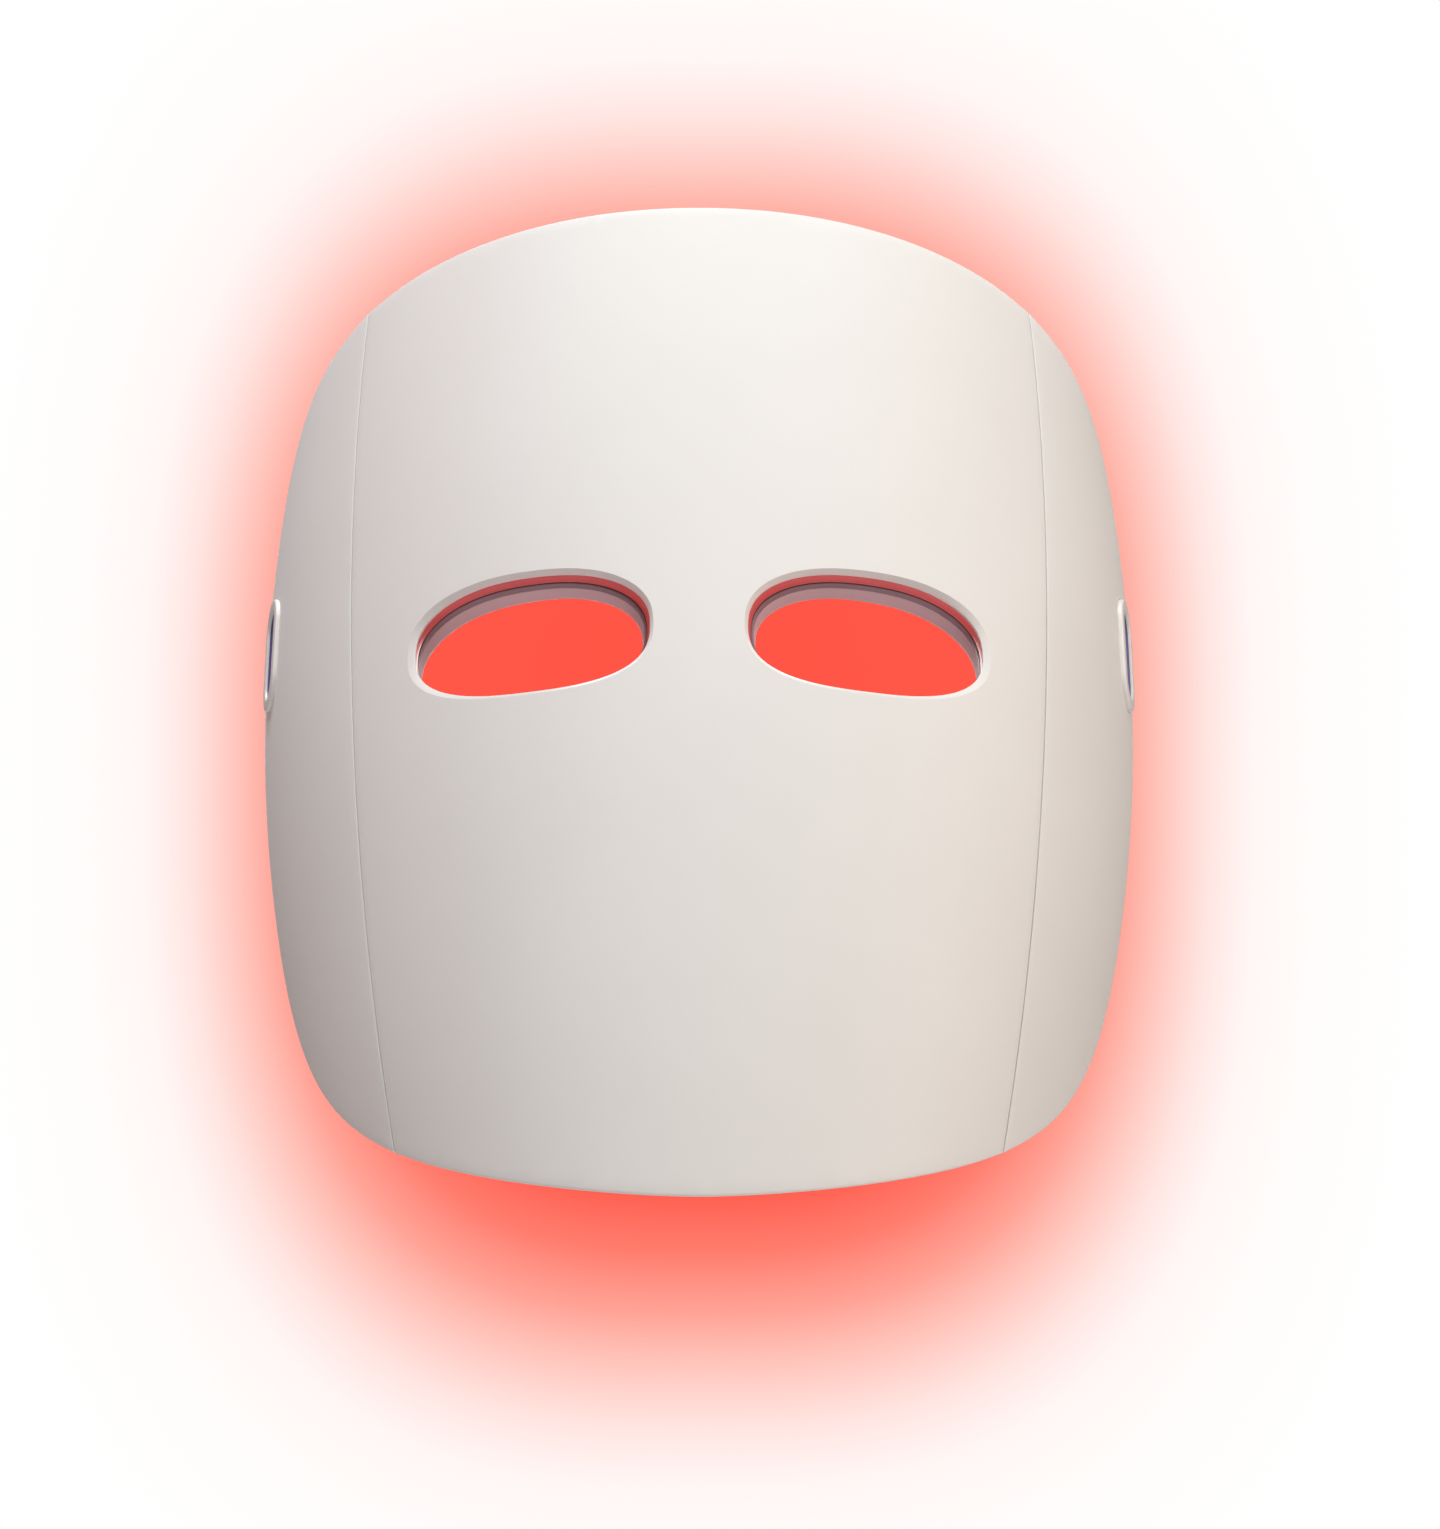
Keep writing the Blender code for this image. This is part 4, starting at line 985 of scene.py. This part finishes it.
def make_slots():
    """Raised bezel round each strap slot, and the sleeve that lines the slot behind it."""
    outer = SLEEVE_WALL + GAP + BEZEL_WALL
    foot = BEZEL_SINK - BEZEL_CLEAR
    curve = rounding(BEZEL_EDGE)
    step, ledge = SLEEVE_WALL + BEZEL_CLEAR, SLEEVE_FRONT - BEZEL_LEDGE
    bezel = [(outer, foot)]
    bezel += [(outer - inset, drop - BEZEL_LIFT) for inset, drop in reversed(curve)]
    bezel += [(SLOT_SPARE + inset, drop - BEZEL_LIFT) for inset, drop in curve]
    bezel += [(BEZEL_BORE, ledge), (step, ledge), (step, foot)]
    front, back, wall = SLEEVE_FRONT, SLEEVE_BACK, SLEEVE_WALL
    fore, rear, inner = SLEEVE_BEVELS
    sleeve = [(0, back - inner), (0, front + fore), (fore, front), (wall, front),
              (wall, back - rear), (wall - rear, back), (inner, back)]
    return with_right({"left_strap_bezel": sweep("left_strap_bezel", slot_outline, bezel),
                       "left_strap_sleeve": sweep("left_strap_sleeve", slot_outline, sleeve)})


def make_pads():
    """Nose rest and brow pad: crowned silicone pills over the liner."""
    made = {}
    front = LENS_DEPTHS[1] + PAD_CLEAR
    rise = PAD_BASE[-1][1]
    for node, back in PAD_BACKS.items():
        low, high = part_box(node)
        size, level = high - low, (low.z + high.z) / 2
        narrow = min(size.x, size.z)
        profile = [(inset, front + drop) for inset, drop in PAD_BASE]
        for angle in np.linspace(0, math.pi / 2, PAD_ROWS)[1:-1]:
            profile.append((narrow * PAD_SHOULDER * (1 - math.cos(angle)),
                            front + rise + (back - front - rise) * math.sin(angle)))
        profile.append((narrow * PAD_CROWN, back))
        skin = Skin()
        rows = []
        for inset, depth in profile:
            outline = pill(size.x - 2 * inset, size.z - 2 * inset)
            rows.append(on_wall(project(outline[:, 0], level + outline[:, 1], depth), depth))
        skin.solid(rows)
        made[node] = skin.object(node + "_soft", SOFT_CREASE)
    return made


# ---- LEDs

def has_room(wrap, level, point, across):
    """Whether an LED clears the rim, eyes, screws, seams, hinges and strap slots."""
    up = level - MIDLINE_LEVEL + MIDLINE_DROP * wrap * wrap
    power, reach = half_shape(up, 0)
    inset = RIM_WALL + LED_EDGE
    share = abs(wrap) / (1 - inset / HALF_WRAP)
    if share ** power + (abs(up) / (reach - inset)) ** power >= 1:
        return False
    x = (abs(point.x) - EYE_X) / (EYE_HALF_WIDTH + EYE_POCKET + LED_EYE_MARGIN)
    z = level / (EYE_HALF_HEIGHT + EYE_POCKET + LED_EYE_MARGIN)
    if abs(x) ** EYE_POWER + abs(z) ** EYE_POWER < 1:
        return False
    for screw_wrap, screw_level in both_sides(FRONT_SCREWS + WING_SCREWS):
        if math.hypot((wrap - screw_wrap) * HALF_WRAP, level - screw_level) < LED_CLEAR:
            return False
    behind = max(0, -(point - SEAM_ORIGIN).dot(SEAM_OUT))
    if abs(across) - FOLD_SLOPE * behind < SEAM_WALL + LED_EDGE:
        return False
    for hinge_level in HINGE_LEVELS:
        beside = abs(level - hinge_level) < POCKET_HALF_LENGTH + LED_HINGE_CLEAR
        if beside and abs(across) < LEAF_REACH + LED_HINGE_CLEAR:
            return False
    slot_x = (abs(wrap) - SLOT_WRAP) * HALF_WRAP / (SLOT_WIDTH / 2 + LED_SLOT_CLEAR)
    slot_z = (level - SLOT_LEVEL) / (SLOT_HEIGHT / 2 + LED_SLOT_CLEAR)
    return math.hypot(slot_x, slot_z) >= 1


def led_spots():
    """Places of the LEDs as (wrap, level, body)."""
    spots = []
    columns = int(HALF_WRAP / LED_PITCH)
    rows = int(TOP_REACH / LED_PITCH) + 1
    for column in range(-columns, columns + 1):
        for row in range(-rows, rows + 1):
            wrap = column * LED_PITCH / HALF_WRAP
            level = MIDLINE_LEVEL + row * LED_PITCH
            point = Vector(wall_points([abs(wrap)], [level], [BOARD_DEPTHS[1]])[0])
            across = (point - SEAM_ORIGIN).dot(SEAM_ACROSS)
            if has_room(wrap, level, point, across):
                wing = "left_wing" if wrap > 0 else "right_wing"
                spots.append((wrap, level, "front_panel" if across < 0 else wing))
    return spots


def make_leds():
    """White LED packages and their red domes, one piece of each per body."""
    half = LED_HALF_WIDTH
    square = np.array([(half, half), (-half, half), (-half, -half), (half, -half)])
    package = [(square, -LED_SINK), (square, LED_HEIGHT - LED_BEVEL),
               (square * (1 - LED_BEVEL / half), LED_HEIGHT)]
    base = LED_HEIGHT + LED_DOME_LIFT
    dome = []
    for angle in np.linspace(0, math.pi / 2, LED_DOME_ROWS)[:-1]:
        dome.append((circle(LED_DOME_RADIUS * math.cos(angle), LED_DOME_STEPS),
                     base + LED_DOME_HEIGHT * math.sin(angle)))
    tip = circle(LED_DOME_RADIUS * LED_DOME_TIP, LED_DOME_STEPS)
    dome.append((tip, base + LED_DOME_HEIGHT))
    packages, domes = {}, {}
    for wrap, level, body in led_spots():
        # Local Z points inwards here, so that the packages face the wearer.
        place = wall_frame(wrap, level, BOARD_DEPTHS[1]) @ Matrix.Rotation(math.pi, 4, "X")
        packages.setdefault(body, Skin()).solid(stacked(place, package))
        domes.setdefault(body, Skin()).solid(stacked(place, dome))
    made = [(body, skin.object(body + "_led_packages", PACKAGE_CREASE), "led_board")
            for body, skin in packages.items()]
    made += [(body, skin.object(body + "_led_domes", SOFT_CREASE), "liner")
             for body, skin in domes.items()]
    return made


# ---- materials

LOW_NOISE, HIGH_NOISE = 0.3, 0.7  # the range that most of a noise stays in
# Noise scales in cycles per metre.
MOTTLING = 25
GLOW_MOTTLING = 30
WEAR = 210
SCRATCHES = 900


class Look:
    """Procedural material under construction, over object coordinates."""

    def __init__(self, name):
        self.material = bpy.data.materials.new(name)
        self.material.use_nodes = True
        self.tree = self.material.node_tree
        self.shader = self.tree.nodes["Principled BSDF"]
        self.place = self.node("TexCoord").outputs["Object"]

    def feed(self, socket, value):
        """Link a node's output to a socket, or set a constant on it."""
        if isinstance(value, bpy.types.NodeSocket):
            self.tree.links.new(value, socket)
        else:
            socket.default_value = value

    def node(self, kind, **inputs):
        """New shader node with its inputs fed by name."""
        node = self.tree.nodes.new("ShaderNode" + kind)
        for name, value in inputs.items():
            self.feed(node.inputs[name.replace("_", " ")], value)
        return node

    def set(self, **inputs):
        """Feed the shader's own sockets by name; returns the look."""
        for name, value in inputs.items():
            self.feed(self.shader.inputs[name.replace("_", " ")], value)
        return self

    def noise(self, scale, detail, stretch=None):
        """Noise at a scale in cycles per metre."""
        place = self.place
        if stretch:
            place = self.node("Mapping", Vector=place, Scale=stretch).outputs["Vector"]
        return self.node("TexNoise", Vector=place, Scale=scale, Detail=detail).outputs["Fac"]

    def ramp(self, value, stops):
        """Colour ramp over (place, colour) stops."""
        node = self.node("ValToRGB", Fac=value)
        points = node.color_ramp.elements
        while len(points) < len(stops):
            points.new(0.5)
        for point, (place, color) in zip(points, stops):
            point.position = place
            point.color = (*color, 1)
        return node.outputs["Color"]

    def tint(self, scale, detail, dark, light):
        """Colour that varies between two tints with noise."""
        return self.ramp(self.noise(scale, detail), ((LOW_NOISE, dark), (HIGH_NOISE, light)))

    def spread(self, scale, detail, low, high):
        """Noise spread from low to high."""
        value = self.noise(scale, detail)
        node = self.node("MapRange", Value=value, From_Min=LOW_NOISE, From_Max=HIGH_NOISE,
                         To_Min=low, To_Max=high)
        return node.outputs["Result"]

    def bump(self, height, strength, depth):
        """Normals bumped by a height, to a depth in millimetres."""
        node = self.node("Bump", Height=height, Strength=strength, Distance=depth * MM)
        return self.set(Normal=node.outputs["Normal"])


def moulded(name, dark, light, rough, grain, depth, emission=None, **constants):
    """Moulded plastic or rubber: mottled colour, varied roughness and fine grain."""
    look = Look(name)
    look.set(Base_Color=look.tint(MOTTLING, 3, dark, light), Roughness=look.spread(WEAR, 3, *rough),
             Sheen_Roughness=0.5, Coat_Roughness=0.3)
    look.bump(look.noise(grain, 2), 0.6, depth)
    if emission:
        look.set(Emission_Color=look.tint(GLOW_MOTTLING, 2, *emission))
    return look.set(**constants).material


def brushed(name, color, rough, stretch):
    """Brushed metal with fine scratches along one direction."""
    look = Look(name)
    dark = tuple(c * 0.78 for c in color)
    scratches = look.noise(SCRATCHES, 3, stretch)
    look.set(Base_Color=look.ramp(scratches, ((0.35, dark), (0.65, color))),
             Roughness=look.spread(300, 2, *rough), Metallic=1)
    return look.bump(scratches, 0.4, 0.01).material


def liner_material():
    """Milky translucent liner, tinted by the light behind it."""
    look = Look("milky_liner")
    look.set(Base_Color=look.tint(60, 3, (0.86, 0.50, 0.45), (0.93, 0.62, 0.56)),
             Roughness=look.spread(240, 2, 0.22, 0.34), Alpha=0.42, IOR=1.41)
    return look.bump(look.noise(1500, 2), 0.5, 0.01).material


def circuit_material(name, base, trace):
    """Circuit board: coated base with fine raised traces on a grid."""
    look = Look(name)
    turned = look.node("Mapping", Vector=look.place, Rotation=(math.pi / 2, 0, 0))
    brick = look.node("TexBrick", Vector=turned.outputs["Vector"], Scale=95, Mortar_Size=0.035,
                      Mortar_Smooth=0.2, Color1=(*base, 1), Color2=(*(c * 0.93 for c in base), 1),
                      Mortar=(*trace, 1))
    look.set(Base_Color=brick.outputs["Color"], Roughness=look.spread(220, 2, 0.32, 0.5))
    return look.bump(brick.outputs["Fac"], 0.3, 0.03).material


def foil_material():
    """Crinkled battery foil."""
    look = Look("pouch_foil")
    folds = look.noise(220, 4)
    grays = ((0.35, (0.52, 0.53, 0.55)), (0.65, (0.72, 0.73, 0.75)))
    look.set(Base_Color=look.ramp(folds, grays), Roughness=look.spread(400, 2, 0.25, 0.45),
             Metallic=0.8)
    return look.bump(folds, 0.5, 0.15).material


def make_materials():
    """Materials by the record's material slot."""
    return {
        "shell": moulded(
            "soft_touch_shell", (0.845, 0.822, 0.80), (0.868, 0.847, 0.828), (0.50, 0.56),
            2600, 0.012, Sheen_Weight=0.1),
        "bezel": moulded(
            "smooth_bezel", (0.86, 0.83, 0.80), (0.90, 0.875, 0.85), (0.30, 0.40),
            1800, 0.008, Coat_Weight=0.15),
        "sleeve": moulded(
            "indigo_sleeve", (0.15, 0.12, 0.34), (0.21, 0.17, 0.43), (0.35, 0.5),
            1500, 0.012, Coat_Weight=0.1),
        "led_board": circuit_material("white_flex_board", (0.80, 0.78, 0.76), (0.60, 0.55, 0.50)),
        "liner": liner_material(),
        # Crimson is the ring's own colour; its emission is painted glow, the red light of the LEDs
        # shining through it.
        "light_ring": moulded(
            "crimson_ring_painted_glow", (0.50, 0.055, 0.065), (0.62, 0.09, 0.10), (0.28, 0.4),
            1600, 0.01, ((0.55, 0.03, 0.03), (0.8, 0.06, 0.05)),
            Coat_Weight=0.2, Emission_Strength=0.25),
        # Near black as painted shade: the seal stands for the shadow in the narrow gap between the
        # light ring and the frame.
        "seal": moulded(
            "seal_rubber", (0.022, 0.012, 0.016), (0.05, 0.03, 0.036), (0.5, 0.65), 2200, 0.015),
        # The frame is the cushion's mauve darkened with painted shade, as a wall in shadow.
        "eye_frame": moulded(
            "eye_frame_plastic", (0.29, 0.17, 0.20), (0.35, 0.21, 0.245), (0.38, 0.5),
            1700, 0.012),
        "silicone": moulded(
            "mauve_silicone", (0.72, 0.49, 0.53), (0.80, 0.55, 0.585), (0.5, 0.62),
            1500, 0.02, Sheen_Weight=0.15),
        "steel": brushed("sheet_steel", (0.62, 0.62, 0.64), (0.28, 0.42), (1, 1, 0.04)),
        "pin": brushed("pin_steel", (0.74, 0.74, 0.76), (0.16, 0.28), (0.1, 0.1, 1)),
        "screw": brushed("screw_steel", (0.50, 0.50, 0.52), (0.28, 0.42), (1, 0.2, 1)),
        "circuit": circuit_material("green_circuit", (0.03, 0.16, 0.07), (0.16, 0.34, 0.14)),
        "battery": foil_material(),
        "button": moulded(
            "button_plastic", (0.74, 0.70, 0.665), (0.80, 0.76, 0.73), (0.35, 0.45), 1800, 0.01),
        "window": moulded(
            "diffusing_window", (0.88, 0.72, 0.66), (0.95, 0.82, 0.76), (0.2, 0.3),
            1400, 0.008, ((0.9, 0.35, 0.25), (1.0, 0.45, 0.33)),
            Coat_Weight=0.4, Emission_Strength=0.35),
        "lit_dome": moulded(
            "lit_red_dome", (0.8, 0.06, 0.04), (0.95, 0.1, 0.06), (0.15, 0.25),
            1200, 0.006, ((1.0, 0.07, 0.03), (1.0, 0.12, 0.06)),
            Coat_Weight=0.5, Emission_Strength=6),
    }


def paint(obj, material):
    """Give an object one material, on its mesh's slots or its own for a CAD node."""
    if "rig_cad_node" in obj:
        for place in obj.material_slots:
            place.link = "OBJECT"
            place.material = material
        return
    obj.data.materials.clear()
    obj.data.materials.append(material)


# ---- stage, lights and camera

def glow_material():
    """White surround with the red glow of the lit mask, as a rounded square of light."""
    look = Look("backdrop_glow")
    look.tree.nodes.remove(look.shader)

    def result(operation, *values):
        node = look.node("Math")
        node.operation = operation
        for socket, value in zip(node.inputs, values):
            look.feed(socket, value)
        return node.outputs["Value"]

    x, y, z = look.node("SeparateXYZ", Vector=look.place).outputs
    across = result("DIVIDE", result("ABSOLUTE", x), GLOW_HALF_SIZE[0])
    height = result("ABSOLUTE", result("SUBTRACT", z, GLOW_RISE))
    up = result("DIVIDE", height, GLOW_HALF_SIZE[1])
    total = result("ADD", result("POWER", across, GLOW_POWER), result("POWER", up, GLOW_POWER))
    radius = result("POWER", total, 1 / GLOW_POWER)
    behind = result("SUBTRACT", 1.0, result("GREATER_THAN", y, 0.0))
    reach = result("ADD", result("MULTIPLY", radius, 0.5), behind)
    color = look.ramp(result("MINIMUM", reach, 1.0), GLOW_STOPS)
    emission = look.node("Emission", Color=color).outputs["Emission"]
    look.feed(look.tree.nodes["Material Output"].inputs["Surface"], emission)
    return look.material


def stage_dome():
    """Surround that the camera sees and that doesn't light the mask."""
    builder = bmesh.new()
    bmesh.ops.create_uvsphere(builder, u_segments=STAGE_SEGMENTS,
                              v_segments=STAGE_SEGMENTS // 2, radius=DOME_RADIUS)
    bmesh.ops.reverse_faces(builder, faces=builder.faces)
    dome = link("backdrop", to_mesh("backdrop", builder))
    dome.rotation_euler = (CAMERA_TILT, 0, 0)
    paint(dome, glow_material())
    for ray in ("diffuse", "glossy", "transmission", "volume_scatter", "shadow"):
        setattr(dome, "visible_" + ray, False)


def stage_floor():
    """Plain pale floor."""
    builder = bmesh.new()
    bmesh.ops.create_circle(builder, cap_ends=True, segments=STAGE_SEGMENTS,
                            radius=DOME_RADIUS * FLOOR_SHARE)
    floor = link("floor", to_mesh("floor", builder))
    floor.location = (0, 0, FLOOR_LEVEL)
    paint(floor, moulded("pale_floor", (0.84, 0.83, 0.82), (0.88, 0.87, 0.86), (0.6, 0.7), 60, 0.1))


def aim(obj, direction):
    """Turn a light or camera to look along a direction."""
    obj.rotation_mode = "QUATERNION"
    obj.rotation_quaternion = direction.to_track_quat("-Z", "Y")


def make_lights():
    """World fill and soft round lights, all aimed at the middle of the mask."""
    world = bpy.data.worlds.new("studio")
    world.use_nodes = True
    background = world.node_tree.nodes["Background"]
    background.inputs["Color"].default_value = FILL_COLOR
    background.inputs["Strength"].default_value = FILL_STRENGTH
    bpy.context.scene.world = world
    for name, (azimuth, elevation, power, color) in STUDIO_LIGHTS.items():
        around, above = math.radians(azimuth), math.radians(elevation)
        direction = Vector((math.cos(above) * math.sin(around),
                            -math.cos(above) * math.cos(around), math.sin(above)))
        data = bpy.data.lights.new(name, "AREA")
        data.shape = "DISK"
        data.size = LIGHT_SIZE
        data.energy = power
        data.color = color
        light = link(name, data)
        light.location = LIGHT_DISTANCE * direction
        aim(light, -direction)
        light.visible_camera = False


def make_camera():
    """Camera below the mask, looking up at it."""
    direction = Vector((0, math.cos(CAMERA_TILT), math.sin(CAMERA_TILT)))
    data = bpy.data.cameras.new("camera")
    data.lens = CAMERA_LENS
    data.sensor_width = CAMERA_SENSOR
    data.shift_x, data.shift_y = CAMERA_SHIFT
    camera = link("camera", data)
    camera.location = CAMERA_AIM - CAMERA_DISTANCE * direction
    aim(camera, direction)
    bpy.context.scene.camera = camera


# ---- assembly

# Material slot by a part of the CAD node's name.
NODE_SLOTS = {
    "shell": "shell", "led_board": "led_board", "lens": "liner", "eye_light_ring": "light_ring",
    "eye_seal": "seal", "eye_frame": "eye_frame", "eye_cushion": "silicone",
    "strap_bezel": "bezel", "strap_sleeve": "sleeve", "nose_rest": "silicone",
    "brow_pad": "silicone", "leaf": "steel", "pin": "pin", "screw": "screw",
    "control_board": "circuit", "battery_cell": "battery", "charging_port": "steel",
    "indicator_window": "window", "power_button": "button",
}


def slot_of(node):
    """Material slot of a CAD node."""
    return next(slot for part, slot in NODE_SLOTS.items() if part in node)


def body_of(node):
    """CAD body that a node belongs to."""
    bodies = frame["record"]["behaviour"]["bodies"]
    return next(body for body, nodes in bodies.items() if node in nodes)


def build():
    """Make every piece, then the stage, lights and camera."""
    bpy.context.scene.view_settings.view_transform = "Standard"
    finishes = make_materials()
    fine = {**make_panels(), **make_eyes(), **make_slots(), **make_pads()}
    for node, obj in fine.items():
        paint(obj, finishes[slot_of(node)])
        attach(obj, body_of(node))
        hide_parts(node)
    for body, obj, slot in make_leds():
        paint(obj, finishes["lit_dome" if slot == "liner" else slot])
        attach(obj, body)
    for node, obj in frame["nodes"].items():
        if node not in fine:
            paint(obj, finishes[slot_of(node)])
    stage_dome()
    stage_floor()
    make_lights()
    make_camera()


build()
